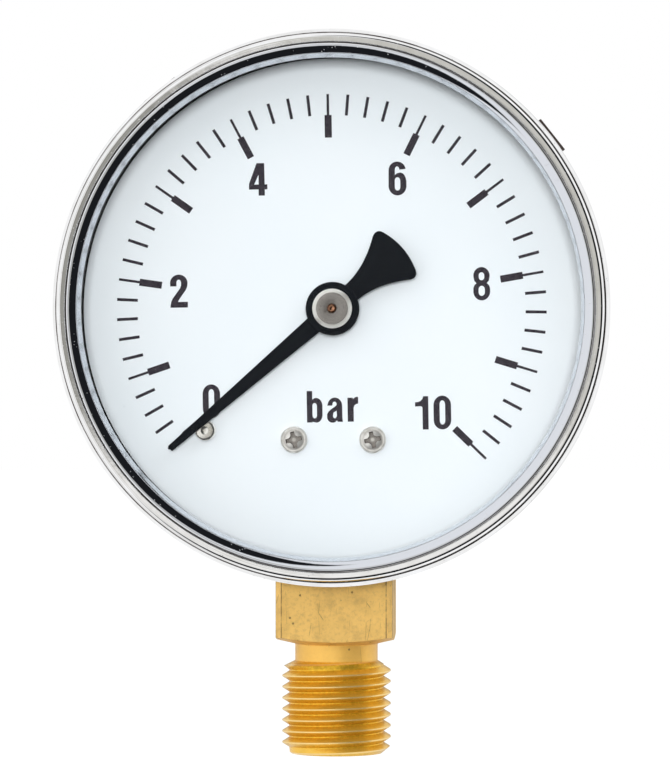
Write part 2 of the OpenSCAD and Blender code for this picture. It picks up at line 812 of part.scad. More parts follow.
module movement_screws() {
  color([0.75, 0.74, 0.7])
  for (p = seat_screws)
  difference() {
    union() {
      rod(p, 1.35, back_plate_y - 0.9, back_plate_y);
      rod(p, 0.75, back_plate_y - 0.1, seat_back + 3);
    }
    translate([p[0] - 1.5, back_plate_y - 1, axis_h + p[1] - 0.18])
    cube([3, 0.5, 0.36]);
  }
}

// ---- bourdon tube ----

// Flattened tube section at its radius: half thickness, half width
module tube_section(w, h) {
  translate([tube_r, -tube_y]) {
    square([2 * w, 2 * (h - w)], center = true);
    for (s = [-1, 1])
    translate([0, s * (h - w)])
    circle(w, $fn = 48);
  }
}

// The section swept from one angle to another, front view, from +X towards +Z
module tube_sweep(w, h, a0, a1) {
  translate([0, 0, axis_h])
  rotate([90, 0, 0])
  rotate(a0)
  rotate_extrude(angle = a1 - a0, $fn = 180)
  tube_section(w, h);
}

module bourdon_tube() {
  color([0.78, 0.55, 0.28])
  difference() {
    tube_sweep(tube_w / 2, tube_h / 2, tip_angle, root_angle);
    tube_sweep(tube_w / 2 - tube_wall, tube_h / 2 - tube_wall, tip_angle - 1, root_angle + 1);
  }
}

module tube_tip() {
  end = tube_r * [cos(tip_angle), sin(tip_angle)];
  y0 = tube_y - tube_h / 2 - 0.3;
  color([0.8, 0.62, 0.25])
  difference() {
    union() {
      slab(y0, tube_y + tube_h / 2 + 0.3)
      translate(end)
      rotate(tip_angle)
      translate([-tube_w / 2 - 0.5, -3.4])
      square([tube_w + 1, 4.3]);
      slab(y0, y0 + 1.3)
      strip(tip_pivot, end + 1.8 * [sin(tip_angle), -cos(tip_angle)], 1.2);
    }
    tube_sweep(tube_w / 2 + seat_fit, tube_h / 2 + seat_fit, tip_angle - 0.1, tip_angle + 12);
    rod(tip_pivot, link_pin_r + 0.01, y0 - 1, y0 + 1.6);
  }
}

// ---- socket ----

// Crest and root outline of the thread, as [radius, height] points
function thread_points() =
  let(n = floor((thread_len - lead_h - crest_w) / pitch))
  [for (k = [0:n - 1]) let(z = lead_h + pitch * k) each
    [[thread_r, z], [thread_r, z + crest_w],
     [thread_r - thread_depth, z + pitch / 2 + crest_w / 2 - 0.08],
     [thread_r - thread_depth, z + pitch / 2 + crest_w / 2 + 0.08]]];

module stem_turning() {
  last = lead_h + pitch * floor((thread_len - lead_h - crest_w) / pitch);
  rotate_extrude($fn = 180)
  polygon(concat([[0, 0], [thread_r - 1.1, 0]], thread_points(),
    [[thread_r, last], [thread_r, last + crest_w],
     [neck_r, last + crest_w + (thread_r - neck_r) * 0.5], [neck_r, square_bottom + 0.5],
     [0, square_bottom + 0.5]]));
}

module square_block() {
  a = flats_w / 2;
  c = flats_chamfer;
  intersection() {
    translate([0, 0, square_bottom])
    linear_extrude(step_z - square_bottom)
    polygon([[a - c, -a], [a, c - a], [a, a - c], [a - c, a], [c - a, a], [-a, a - c], [-a, c - a], [c - a, -a]]);
    translate([0, 0, square_bottom])
    union() {
      cylinder(r1 = a, r2 = a + 2.5 * shoulder_h, h = shoulder_h);
      translate([0, 0, shoulder_h])
      cylinder(r = a + 2.5 * shoulder_h, h = flat_top_z - square_bottom - shoulder_h);
      translate([-block_w / 2, -a, shoulder_h])
      cube([block_w, flats_w, step_z - square_bottom]);
    }
  }
}

module socket() {
  a = flats_w / 2;
  color([0.83, 0.65, 0.25])
  difference() {
    union() {
      stem_turning();
      square_block();
      translate([-block_w / 2, seat_back, step_z - 1])
      cube([block_w, a - seat_back, seat_z - step_z + 1]);
    }
    translate([0, 0, -1])
    cylinder(r = inlet_r, h = inlet_len + 1);
    translate([0, 0, inlet_len - 1])
    cylinder(r = throttle_r + seat_fit, h = throttle_len + 1.3);
    cylinder(r = passage_r, h = axis_h - tube_r);
    tube_sweep(tube_w / 2 + seat_fit, tube_h / 2 + seat_fit, 240, 273);
    for (s = [-1, 1]) {
      rod([s * dial_screw_x, -dial_screw_drop], 1 + seat_fit, seat_back - 1, seat_back + 2.6);
      rod([s * case_screw_x, -case_screw_drop], case_screw_r, a - 4, a + 1);
    }
    for (p = seat_screws)
    rod(p, 0.75 + seat_fit, seat_back - 1, seat_back + 3.3);
  }
}

module throttle_screw() {
  z0 = inlet_len + 0.1;
  color([0.83, 0.65, 0.25])
  difference() {
    translate([0, 0, z0])
    cylinder(r = throttle_r, h = throttle_len);
    translate([0, 0, z0 - 1])
    cylinder(r = throttle_hole_r, h = throttle_len + 2, $fn = 32);
    translate([-throttle_r - 1, -0.3, z0 - 0.1])
    cube([2 * throttle_r + 2, 0.6, 0.8]);
  }
}

case();
bezel_ring();
window();
window_gasket();
dial();
dial_screws();
stop_pin();
pointer();
pointer_bush();
pinion_arbor();
hairspring_collet();
hairspring();
hairspring_stud();
sector_gear();
sector_arbor();
link();
link_pin();
tip_pin();
front_plate();
back_plate();
plate_pillars();
plate_screws();
movement_screws();
bourdon_tube();
tube_tip();
socket();
dial_posts();
case_screws();
throttle_screw();
blow_out_plug();
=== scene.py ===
"""Looks of a bourdon-tube pressure gauge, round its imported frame.

Finishes for every piece, finer turned parts, a cut thread and the dial's print.
"""
import json
import math

import bmesh
import bpy
from mathutils import Matrix, Vector


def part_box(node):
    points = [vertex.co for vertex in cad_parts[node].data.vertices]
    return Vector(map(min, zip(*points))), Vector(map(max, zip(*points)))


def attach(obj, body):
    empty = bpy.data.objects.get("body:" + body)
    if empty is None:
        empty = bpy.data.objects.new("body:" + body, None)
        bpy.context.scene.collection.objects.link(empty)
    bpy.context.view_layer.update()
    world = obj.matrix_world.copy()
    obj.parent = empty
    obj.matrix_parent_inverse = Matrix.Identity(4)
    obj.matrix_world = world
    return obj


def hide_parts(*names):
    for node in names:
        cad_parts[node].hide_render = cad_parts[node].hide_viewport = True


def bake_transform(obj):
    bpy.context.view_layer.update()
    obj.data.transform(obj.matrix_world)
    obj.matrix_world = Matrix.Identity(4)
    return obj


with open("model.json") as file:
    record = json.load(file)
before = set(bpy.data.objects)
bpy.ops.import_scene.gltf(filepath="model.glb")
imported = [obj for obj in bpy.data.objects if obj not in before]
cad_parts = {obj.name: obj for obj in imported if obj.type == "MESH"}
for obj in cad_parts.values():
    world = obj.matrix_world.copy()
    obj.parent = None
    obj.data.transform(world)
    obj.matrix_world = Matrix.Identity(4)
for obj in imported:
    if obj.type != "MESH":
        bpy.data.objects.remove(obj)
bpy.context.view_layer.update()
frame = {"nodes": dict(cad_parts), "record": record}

MM = 0.001


def size_of(node):
    """A node's lowest and highest corners, in millimetres."""
    low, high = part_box(node)
    return low / MM, high / MM


# Places that the frame gives, in millimetres
dial_low, dial_high = size_of("dial")
AXIS_Z = (dial_low.z + dial_high.z) / 2
DIAL_Y = dial_low.y
ring_low, ring_high = size_of("bezel_ring")
RING_R = ring_high.x
CREST_Y, SKIRT_Y = ring_low.y, ring_high.y
GLASS_Y = size_of("window")[0].y
bush_low, bush_high = size_of("pointer_bush")
BUSH_R, BUSH_Y = bush_high.x, bush_low.y
pointer_low, pointer_high = size_of("pointer")
HUB_Y, BLADE_BACK_Y = pointer_low.y, pointer_high.y
stop_low, stop_high = size_of("stop_pin")
screws_low, screws_high = size_of("dial_screws")
SCREW_R = 1.62
SCREW_TOP, SCREW_Z = screws_low.y, (screws_low.z + screws_high.z) / 2
SCREWS_X = (screws_low.x + SCREW_R, screws_high.x - SCREW_R)
tube_low, tube_high = size_of("bourdon_tube")
FLAT = size_of("socket")[1].x

DIAL_CENTRE = Vector((0, 0, AXIS_Z))

# The stem: its thread, the lead chamfer, the neck, the inlet and the slope under the wrench square
PITCH = 1.337
CREST_R, ROOT_R = 6.5785, 5.7225
LEAD_R, LEAD_H = 5.4785, 0.9
THREAD_TOP, NECK_TOP, NECK_R = 11.25, 13.3, 5.0
BORE_R, BORE_LEN = 2.5, 8.0
SHOULDER_LEAN = 0.22


# ---------------------------------------------------------------- finishes


class Value:
    """A shader socket that takes part in arithmetic, adding its Math nodes as it goes."""

    def __init__(self, finish, socket):
        self.finish = finish
        self.socket = socket

    def maths(self, operation, *others):
        return self.finish.add("Math", {"operation": operation}, dict(enumerate((self,) + others)))

    def __add__(self, other):
        return self.maths("ADD", other)

    def __radd__(self, other):
        return self.maths("ADD", other)

    def __sub__(self, other):
        return self.maths("SUBTRACT", other)

    def __rsub__(self, other):
        return self.finish.add("Math", {"operation": "SUBTRACT"}, {0: other, 1: self})

    def __mul__(self, other):
        return self.maths("MULTIPLY", other)

    def __rmul__(self, other):
        return self.maths("MULTIPLY", other)

    def __truediv__(self, other):
        return self.maths("DIVIDE", other)

    def __pow__(self, other):
        return self.maths("POWER", other)

    def over(self, start, end):
        """Rises smoothly from 0 at start to 1 at end."""
        inputs = {"Value": self, "From Min": start, "From Max": end}
        return self.finish.add("MapRange", {"interpolation_type": "SMOOTHSTEP"}, inputs)


class Finish:
    """A node material in millimetres, with its Principled shader ready."""

    def __init__(self, name, **settings):
        self.material = bpy.data.materials.new(name)
        self.material.use_nodes = True
        self.tree = self.material.node_tree
        self.shader = self.tree.nodes["Principled BSDF"]
        self.set(**settings)
        place = self.add("TexCoord", out="Object")
        self.mm = self.add("VectorMath", {"operation": "SCALE"}, {"Vector": place, "Scale": 1 / MM})

    def add(self, kind, settings=None, inputs=None, out=0):
        """Adds a node: its settings first, then the values or links of its sockets."""
        node = self.tree.nodes.new("ShaderNode" + kind)
        for name, value in (settings or {}).items():
            setattr(node, name, value)
        for name, value in (inputs or {}).items():
            self.feed(node.inputs[name], value)
        return Value(self, node.outputs[out])

    def feed(self, socket, value):
        if isinstance(value, Value):
            self.tree.links.new(value.socket, socket)
        elif isinstance(value, tuple) and len(value) == 3 and len(socket.default_value) == 4:
            socket.default_value = value + (1,)
        else:
            socket.default_value = value

    def set(self, **settings):
        """Sets or links the shader's own sockets, named with underscores for spaces."""
        for name, value in settings.items():
            self.feed(self.shader.inputs[name.replace("_", " ")], value)

    def along(self, axis):
        """One coordinate of the surface, in millimetres."""
        return self.add("SeparateXYZ", inputs={"Vector": self.mm}, out=axis)

    def stretched(self, x, y, z):
        """The coordinates scaled by axis, for a grain that runs one way."""
        return self.add("VectorMath", {"operation": "MULTIPLY"}, {0: self.mm, 1: (x, y, z)})

    def noise(self, scale, detail=3.0, roughness=0.55, at=None):
        inputs = {"Vector": at or self.mm, "Scale": scale, "Detail": detail, "Roughness": roughness}
        return self.add("TexNoise", inputs=inputs, out="Fac")

    def cells(self, scale, feature="F1", at=None):
        inputs = {"Vector": at or self.mm, "Scale": scale}
        return self.add("TexVoronoi", {"feature": feature}, inputs, out="Distance")

    def blend(self, factor, first, second):
        """A colour between two others."""
        settings = {"data_type": "RGBA", "clamp_factor": True}
        return self.add("Mix", settings, {0: factor, 6: first, 7: second}, out=2)

    def bump(self, height, depth):
        """Relief of so many millimetres."""
        return self.add("Bump", inputs={"Height": height, "Distance": depth * MM, "Strength": 1.0})

    def turning(self):
        """Distance from the dial axis, in millimetres, for tool marks on turned faces."""
        across = self.along("X")
        up = self.along("Z") - AXIS_Z
        return (across * across + up * up) ** 0.5

    def specks(self, scale, size, share):
        """Small sharp-edged dots in some of the cells."""
        near = 1 - self.cells(scale).over(size * 0.6, size)
        some = self.noise(scale * 0.37, 2.0).over(1 - share, 1.02 - share)
        return near * some


def chrome():
    """Bright chrome with faint smears and dust, painted shade along the crease and the fold of the rolled
    sheet, and a painted bluish reflection on the lip.
    """
    f = Finish("chrome", Metallic=1.0)
    smear = f.noise(0.35, 4.0)
    wear = f.noise(2.3, 5.0, 0.7)
    scratch = f.noise(1.0, 2.0, 0.5, f.stretched(0.6, 9.0, 0.6))
    dust = f.specks(2.4, 0.16, 0.47)
    reach = f.turning()
    crease = 1 - (reach - (RING_R - 1.83)).maths("ABSOLUTE").over(0.02, 0.075)
    fold = 1 - (reach - (RING_R - 0.61)).maths("ABSOLUTE").over(0.12, 0.16)
    front = 1 - f.along("Y").over(CREST_Y + 1.6, CREST_Y + 1.7)
    root = f.along("Y").over(CREST_Y + 1.3, CREST_Y + 1.46)
    # painted shade: dark lines in the crease and along the fold under the bead, front side only, varied a
    # little by the smears; it also roughens the chrome there
    crease_and_fold_shade = (crease * 0.9 + fold * root * (0.7 + smear.over(0.35, 0.7) * 0.28)) * front
    lip = 1 - reach.over(RING_R - 2.02, RING_R - 1.96)
    around = f.add("CombineXYZ", inputs={"X": reach * 5.5, "Y": f.along("X") * 0.03})
    rings = f.noise(1.0, 2.0, 0.6, around)
    smeared = f.blend(smear.over(0.3, 0.75), (0.93, 0.935, 0.945), (0.84, 0.84, 0.835))
    drawn = rings.over(0.5, 0.68) * 0.5 * reach.over(RING_R - 1.9, RING_R - 1.7)
    tone = f.blend(drawn, smeared, (0.50, 0.49, 0.48))
    # painted reflection: the lip inside the crease gets a bluish grey tint, standing in for the pale dial
    # mirrored in it
    rolled = f.blend(lip, tone, (0.70, 0.725, 0.775))
    dusted = f.blend(dust, rolled, (0.80, 0.80, 0.80))
    f.set(Base_Color=f.blend(crease_and_fold_shade, dusted, (0.045, 0.028, 0.024)))
    wall = 1 - reach.over(RING_R - 3.25, RING_R - 3.05)
    f.set(Roughness=0.035 + wear.over(0.45, 0.8) * 0.06 + dust * 0.5 + crease_and_fold_shade * 0.3 + wall * 0.22)
    f.set(Normal=f.bump(scratch * 0.5 + smear * 1.2 + dust * 2.0, 0.006))
    return f.material


def nickel(name="nickel plate", tone=(0.80, 0.765, 0.72), dim=(0.62, 0.585, 0.545)):
    """Bright plating with a little film and a few pits."""
    f = Finish(name, Metallic=1.0)
    grain = f.noise(9.0, 4.0, 0.7)
    film = f.noise(1.1, 3.0)
    pits = f.specks(3.6, 0.2, 0.40)
    toned = f.blend(film.over(0.35, 0.7), tone, dim)
    f.set(Base_Color=f.blend(pits, toned, (0.30, 0.27, 0.25)))
    f.set(Roughness=0.2 + grain * 0.14 + pits * 0.2)
    f.set(Normal=f.bump(grain, 0.004))
    return f.material


def screw_nickel():
    """The screws' plating, with painted shade in the arms of their recesses, weaker in the middle to leave a
    painted highlight there.
    """
    f = Finish("screw nickel")
    grain = f.noise(8.0, 4.0, 0.7)
    film = f.noise(1.3, 3.0)
    x, z = f.along("X").maths("ABSOLUTE") - SCREWS_X[1], f.along("Z") - SCREW_Z
    reach = (x * x + z * z) ** 0.5
    deep = f.along("Y").over(SCREW_TOP + 0.12, SCREW_TOP + 0.3)
    # painted shade in the recess arms, weaker near the middle as a painted highlight; it also roughens them
    recess_shade = deep * (1 - reach.over(1.1, 1.3)) * (0.25 + reach.over(0.12, 0.34) * 0.75)
    toned = f.blend(film.over(0.35, 0.7), (0.90, 0.865, 0.82), (0.70, 0.665, 0.625))
    f.set(Base_Color=f.blend(recess_shade * 0.8, toned, (0.29, 0.25, 0.225)))
    f.set(Metallic=0.7, Roughness=0.24 + grain * 0.12 + recess_shade * 0.2)
    f.set(Normal=f.bump(grain, 0.005))
    return f.material


def bush_nickel():
    """The bush's turned face with fine grooves round its middle, painted darker than its chamfer and darker
    still towards the bore as painted shade, and its chamfer painted brighter as a painted highlight.
    """
    f = Finish("bush nickel")
    reach = f.turning()
    rings = f.noise(1.0, 3.0, 0.7, f.add("CombineXYZ", inputs={"X": reach * 11.0}))
    grain = f.noise(11.0, 4.0, 0.75)
    face = 1 - reach.over(BUSH_R - 0.5, BUSH_R - 0.43)
    middle = 1 - reach.over(0.5, 1.6)
    # painted shade: the turned face gets a darker tone than the same plating on the chamfer, with random
    # grain
    face_grain_and_shade = f.blend(grain.over(0.4, 0.66), (0.56, 0.52, 0.485), (0.24, 0.21, 0.195))
    # painted shade, darker towards the bore
    shaded = f.blend(middle * 0.35, face_grain_and_shade, (0.20, 0.165, 0.145))
    cut = f.blend(rings.over(0.48, 0.62) * 0.4, shaded, (0.66, 0.62, 0.58))
    # painted highlight: the chamfer gets a brighter colour than the same plating on the face
    f.set(Base_Color=f.blend(face, (0.94, 0.90, 0.83), cut))
    f.set(Metallic=0.55 + face * 0.45, Roughness=0.3 + face * 0.04 + grain * 0.12)
    f.set(Normal=f.bump(rings * face * 1.6 + grain * face * 0.9, 0.02))
    return f.material


def steel(name, tone):
    """Plain turned or drawn steel of the inner pins and the link."""
    f = Finish(name, Metallic=1.0)
    grain = f.noise(6.0, 4.0, 0.7, f.stretched(1.0, 5.0, 1.0))
    film = f.noise(0.8, 3.0)
    dim = tuple(c * 0.72 for c in tone)
    f.set(Base_Color=f.blend(film.over(0.3, 0.75), tone, dim))
    f.set(Roughness=0.22 + grain * 0.2)
    f.set(Normal=f.bump(grain, 0.004))
    return f.material


def brass(name, tone, dark, along=(1.0, 1.0, 1.0), mark=0.02, rough=0.3):
    """Brass with tool marks that run one way, handling stains, pits and stray scratches."""
    f = Finish(name, Metallic=1.0)
    marks = f.noise(2.0, 4.0, 0.65, f.stretched(*along))
    cloud = f.noise(0.28, 4.0, 0.6)
    fine = f.noise(1.6, 5.0, 0.7)
    pits = f.specks(1.05, 0.13, 0.45)
    line = f.cells(0.34, "DISTANCE_TO_EDGE", f.stretched(2.2, 2.2, 0.55))
    scratch = (1 - line.over(0.004, 0.013)) * f.noise(0.5, 1.0).over(0.56, 0.6)
    toned = f.blend(cloud.over(0.34, 0.7), tone, dark)
    shade = f.blend(fine.over(0.42, 0.75) * 0.45, toned, tuple(c * 0.62 for c in dark))
    spot = f.blend(pits * 0.75 + scratch * 0.5, shade, (0.16, 0.085, 0.03))
    f.set(Base_Color=spot)
    f.set(Roughness=rough + cloud * 0.16 + fine * 0.1 + pits * 0.2)
    f.set(Normal=f.bump(marks + fine * 0.3 - pits * 1.4 - scratch * 1.2, mark))
    return f.material


def stem_brass():
    """Brass of the stem: milled flats above, a turned neck, and a thread with painted shade in its roots and
    on its lower flanks, a painted highlight along its crests and a deeper gold painted for bounced light.
    """
    f = Finish("stem brass")
    x, y, z = f.along("X"), f.along("Y"), f.along("Z")
    reach = (x * x + y * y) ** 0.5
    on_thread = 1 - z.over(THREAD_TOP - 0.15, THREAD_TOP + 0.1)
    above_neck = z.over(NECK_TOP - 0.05, NECK_TOP + 0.05)
    on_neck = z.over(THREAD_TOP - 0.15, THREAD_TOP + 0.1) * (1 - above_neck)
    root = (1 - reach.over(5.7, 6.5)) * on_thread * z.over(0.7, 1.1)
    mill = f.noise(1.5, 3.0, 0.6, f.stretched(5.0, 5.0, 0.16))
    turn = f.noise(1.5, 3.0, 0.6, f.stretched(0.1, 0.1, 7.0))
    cloud = f.noise(0.22, 4.0, 0.6)
    smudge = f.noise(0.62, 5.0, 0.68)
    fine = f.noise(2.6, 4.0, 0.7)
    pits = f.specks(0.9, 0.15, 0.5) * (1 - on_thread)
    line = f.cells(0.27, "DISTANCE_TO_EDGE", f.stretched(2.6, 2.6, 0.5))
    scratch = (1 - line.over(0.004, 0.014)) * f.noise(0.42, 1.0).over(0.55, 0.6) * (1 - on_thread)
    gold = f.blend(cloud.over(0.38, 0.66), (1.0, 0.64, 0.19), (0.86, 0.545, 0.16))
    fouled = f.blend(smudge.over(0.46, 0.72) * 0.5, gold, (0.58, 0.36, 0.12))
    stained = f.blend(fine.over(0.48, 0.72) * 0.4, fouled, (0.60, 0.36, 0.12))
    bright = f.blend(on_neck * 0.7, stained, (1.0, 0.60, 0.125))
    # painted bounce light: a deeper, more saturated gold over the thread and its roots, standing in for light
    # bounced between the flanks
    deep = f.blend(on_thread * 0.65 + root * 0.3, bright, (1.0, 0.61, 0.045))
    # painted shade in the thread's roots, varied by noise
    root_shade = f.blend(root * fine.over(0.3, 0.7) * 0.45, deep, (0.52, 0.27, 0.015))
    phase = (z / PITCH - y.maths("ARCTAN2", x) / math.tau).maths("FRACT")
    under = phase.over(0.02, 0.16) * (1 - phase.over(0.38, 0.47)) * on_thread
    crest = (1 - (phase - 0.5).maths("ABSOLUTE").over(0.03, 0.1)) * on_thread
    # painted shade on the lower flank of every turn of the thread
    shady = f.blend(under * (0.24 + fine.over(0.35, 0.65) * 0.24), root_shade, (0.52, 0.29, 0.015))
    # painted highlight along the thread's crests
    toned = f.blend(crest * 0.6, shady, (1.0, 0.80, 0.42))
    corner = ((x.maths("ABSOLUTE") - y.maths("ABSOLUTE")).maths("ABSOLUTE") - 0.7).maths("ABSOLUTE")
    edge = (1 - corner.over(0.03, 0.13)) * z.over(NECK_TOP + 0.7, NECK_TOP + 0.9) * smudge.over(0.3, 0.5)
    lined = f.blend(edge * 0.75, toned, (0.16, 0.085, 0.04))
    f.set(Base_Color=f.blend(pits * 0.7 + scratch * 0.5, lined, (0.17, 0.10, 0.045)))
    f.set(Metallic=0.5 + on_thread * 0.2)
    f.set(Roughness=0.42 - on_thread * 0.18 - on_neck * 0.08 + smudge * 0.14 + pits * 0.2)
    marks = mill * above_neck + turn * (on_thread + on_neck)
    f.set(Normal=f.bump(marks + fine * 0.4 - pits * 1.2 - scratch, 0.022))
    return f.material


def copper():
    """Copper alloy of the arbor, with the centre mark left in its end by the lathe."""
    f = Finish("copper alloy", Metallic=1.0)
    reach = f.turning()
    rings = f.noise(1.0, 2.0, 0.6, f.add("CombineXYZ", inputs={"X": reach * 14.0}))
    grain = f.noise(7.0, 4.0, 0.7)
    tarnish = f.noise(3.1, 3.0).over(0.4, 0.7)
    rim = reach.over(0.28, 0.5)
    toned = f.blend(tarnish, (0.72, 0.36, 0.21), (0.42, 0.19, 0.11))
    f.set(Base_Color=f.blend(rim * 0.7, toned, (0.27, 0.12, 0.07)))
    f.set(Roughness=0.2 + grain * 0.18)
    f.set(Normal=f.bump(reach.over(0.0, 0.3) * 6.0 - reach.over(0.32, 0.5) * 9.0 + rings, 0.02))
    return f.material


def spring_bronze():
    """Drawn tube with heat colours where it was soldered."""
    f = Finish("spring bronze", Metallic=1.0)
    drawn = f.noise(1.2, 3.0, 0.6, f.stretched(1.0, 6.0, 1.0))
    cloud = f.noise(0.16, 3.0)
    heat = 1 - f.along("Z").over(AXIS_Z - 24, AXIS_Z - 14)
    base = f.blend(cloud.over(0.35, 0.7), (0.70, 0.47, 0.22), (0.58, 0.36, 0.16))
    f.set(Base_Color=f.blend(heat * 0.7, base, (0.36, 0.20, 0.13)))
    f.set(Roughness=0.28 + drawn * 0.15 + heat * 0.12)
    f.set(Normal=f.bump(drawn, 0.012))
    return f.material


def dial_paint():
    """Sprayed white with a faint orange peel and a few dust nibs."""
    f = Finish("dial paint", IOR=1.48)
    tint = f.noise(0.05, 3.0)
    peel = f.noise(3.2, 3.0, 0.6)
    dust = f.specks(0.5, 0.055, 0.42)
    white = f.blend(tint.over(0.3, 0.7), (0.888, 0.925, 0.962), (0.906, 0.935, 0.968))
    f.set(Base_Color=f.blend(dust * 0.5, white, (0.42, 0.44, 0.50)))
    f.set(Roughness=0.42 + peel * 0.12)
    f.set(Normal=f.bump(peel * 0.25 + dust, 0.012))
    return f.material


def print_ink():
    """Pad-printed ink, thin in places, with pinholes."""
    f = Finish("dial ink", Specular_IOR_Level=0.15)
    thin = f.noise(2.4, 4.0, 0.6)
    holes = f.specks(4.2, 0.2, 0.44)
    ink = f.blend(thin.over(0.3, 0.75), (0.030, 0.025, 0.033), (0.062, 0.052, 0.062))
    f.set(Base_Color=f.blend(holes * 0.55, ink, (0.36, 0.35, 0.38)))
    f.set(Roughness=0.5 + thin * 0.2)
    f.set(Normal=f.bump(thin, 0.006))
    return f.material


def black_paint():
    """Satin paint of the pointer, rubbed thin in small spots round its hub."""
    f = Finish("pointer paint", Specular_IOR_Level=0.04)
    peel = f.noise(7.0, 3.0, 0.6)
    rub = f.specks(3.4, 0.22, 0.4) * (1 - f.turning().over(2.6, 3.6))
    paint = f.blend(peel.over(0.3, 0.7), (0.0055, 0.0068, 0.009), (0.0105, 0.0118, 0.0145))
    f.set(Base_Color=f.blend(rub * 0.3, paint, (0.24, 0.21, 0.20)))
    f.set(Roughness=0.34 + peel * 0.14)
    f.set(Normal=f.bump(peel, 0.006))
    return f.material


def case_plastic():
    """Black moulding with a spark-eroded grain, a little rubbed and dusty, and brown on its snap lugs."""
    f = Finish("case moulding", IOR=1.5)
    grain = f.noise(3.4, 5.0, 0.7)
    pebbles = f.cells(2.6)
    haze = f.noise(0.12, 3.0)
    lug = f.turning().over(RING_R - 0.4, RING_R - 0.2)
    plain = f.blend(haze.over(0.35, 0.75), (0.013, 0.0125, 0.0125), (0.022, 0.021, 0.021))
    f.set(Base_Color=f.blend(lug * 0.8, plain, (0.030, 0.016, 0.010)))
    f.set(Roughness=0.42 + grain * 0.2 + haze * 0.1)
    f.set(Normal=f.bump(grain * 0.6 + pebbles, 0.02))
    return f.material


def rubber():
    """Black rubber with a grey bloom."""
    f = Finish("rubber", IOR=1.45)
    grain = f.noise(5.0, 4.0, 0.7)
    bloom = f.noise(0.5, 3.0).over(0.4, 0.75)
    f.set(Base_Color=f.blend(bloom, (0.012, 0.012, 0.012), (0.032, 0.031, 0.030)))
    f.set(Roughness=0.62 + grain * 0.2)
    f.set(Normal=f.bump(grain, 0.02))
    return f.material


def window_glass():
    """Clear glass. The lamps' light passes straight through it; the eye meets its faces."""
    f = Finish("window glass", Roughness=0.0, IOR=1.1)
    f.set(Transmission_Weight=1.0)
    wipe = f.noise(0.09, 3.0)
    f.set(Base_Color=f.blend(wipe, (0.985, 0.995, 0.995), (0.965, 0.985, 0.99)))
    shadow = f.add("LightPath", out="Is Shadow Ray")
    clear = f.add("BsdfTransparent", inputs={"Color": (0.97, 0.98, 0.98)})
    both = f.add("MixShader", inputs={0: shadow, 1: Value(f, f.shader.outputs[0]), 2: clear})
    f.tree.links.new(both.socket, f.tree.nodes["Material Output"].inputs["Surface"])
    return f.material


FINISHES = {
    "ring_chrome": chrome(),
    "nickel": nickel(),
    "pin_nickel": nickel("pin nickel", (0.97, 0.93, 0.87), (0.84, 0.79, 0.73)),
    "bush_nickel": bush_nickel(),
    "screw_nickel": screw_nickel(),
    "brass_turned": brass("turned brass", (0.80, 0.57, 0.22), (0.66, 0.44, 0.15), (0.5, 7.0, 0.5)),
    "brass_plate": brass(
        "plate brass", (0.82, 0.60, 0.25), (0.68, 0.47, 0.17), (0.3, 1.0, 6.0), mark=0.012, rough=0.26,
    ),
    "stem_brass": stem_brass(),
    "bronze": copper(),
    "spring_bronze": spring_bronze(),
    "dial_white": dial_paint(),
    "ink": print_ink(),
    "pointer_black": black_paint(),
    "case_plastic": case_plastic(),
    "rubber_black": rubber(),
    "glass_clear": window_glass(),
    "steel": steel("pin steel", (0.56, 0.55, 0.53)),
}
STEEL_NODES = ("sector_arbor", "link", "link_pin", "tip_pin")


# ---------------------------------------------------------------- making meshes


def finished(name, bm, finish, body="frame", slot=None, stands_for=(), crease=32):
    """Makes a piece of a mesh in millimetres, smooth but for its sharp edges, riding on a body."""
    bmesh.ops.scale(bm, vec=(MM, MM, MM), verts=bm.verts)
    mesh = bpy.data.meshes.new(name)
    bm.to_mesh(mesh)
    bm.free()
    mesh.shade_smooth()
    mesh.set_sharp_from_angle(angle=math.radians(crease))
    mesh.materials.append(FINISHES[finish])
    piece = bpy.data.objects.new(name, mesh)
    bpy.context.scene.collection.objects.link(piece)
    if stands_for:
        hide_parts(*stands_for)
    if body:
        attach(piece, body)
    return piece


def turned(bm, points, steps, centre=DIAL_CENTRE, axis=(0, 1, 0), closed=False):
    """Spins [radius, station] points into bm, about a line along Y or Z."""
    along = Vector(axis)
    start = len(bm.verts)
    verts = [bm.verts.new(centre + Vector((r, 0, 0)) + along * s) for r, s in points]
    edges = [bm.edges.new(pair) for pair in zip(verts, verts[1:])]
    if closed:
        edges.append(bm.edges.new((verts[-1], verts[0])))
    spun = dict(cent=centre, axis=along, angle=math.tau, steps=steps, use_merge=True)
    bmesh.ops.spin(bm, geom=verts + edges, **spun)
    bm.verts.ensure_lookup_table()
    made = bm.verts[start:]
    bmesh.ops.remove_doubles(bm, verts=made, dist=1e-4)
    return bm


def outward(bm):
    """Turns every face of a closed shape outwards."""
    bmesh.ops.recalc_face_normals(bm, faces=bm.faces)
    return bm


def bow(centre, radii, start, end, count):
    """Points of an ellipse's arc, degrees from the first axis towards the second."""
    steps = [math.radians(start + (end - start) * i / count) for i in range(count + 1)]
    return [(centre[0] + radii[0] * math.cos(a), centre[1] + radii[1] * math.sin(a)) for a in steps]


def arc_by_tilt(start, radius, first, last, count):
    """Points of a convex arc that leans inwards, between two tilts of its surface from the dial's plane."""
    a = math.radians(first)
    tilts = [math.radians(first + (last - first) * i / count) for i in range(1, count + 1)]
    return [
        (start[0] - radius * (math.sin(t) - math.sin(a)), start[1] + radius * (math.cos(a) - math.cos(t)))
        for t in tilts
    ]


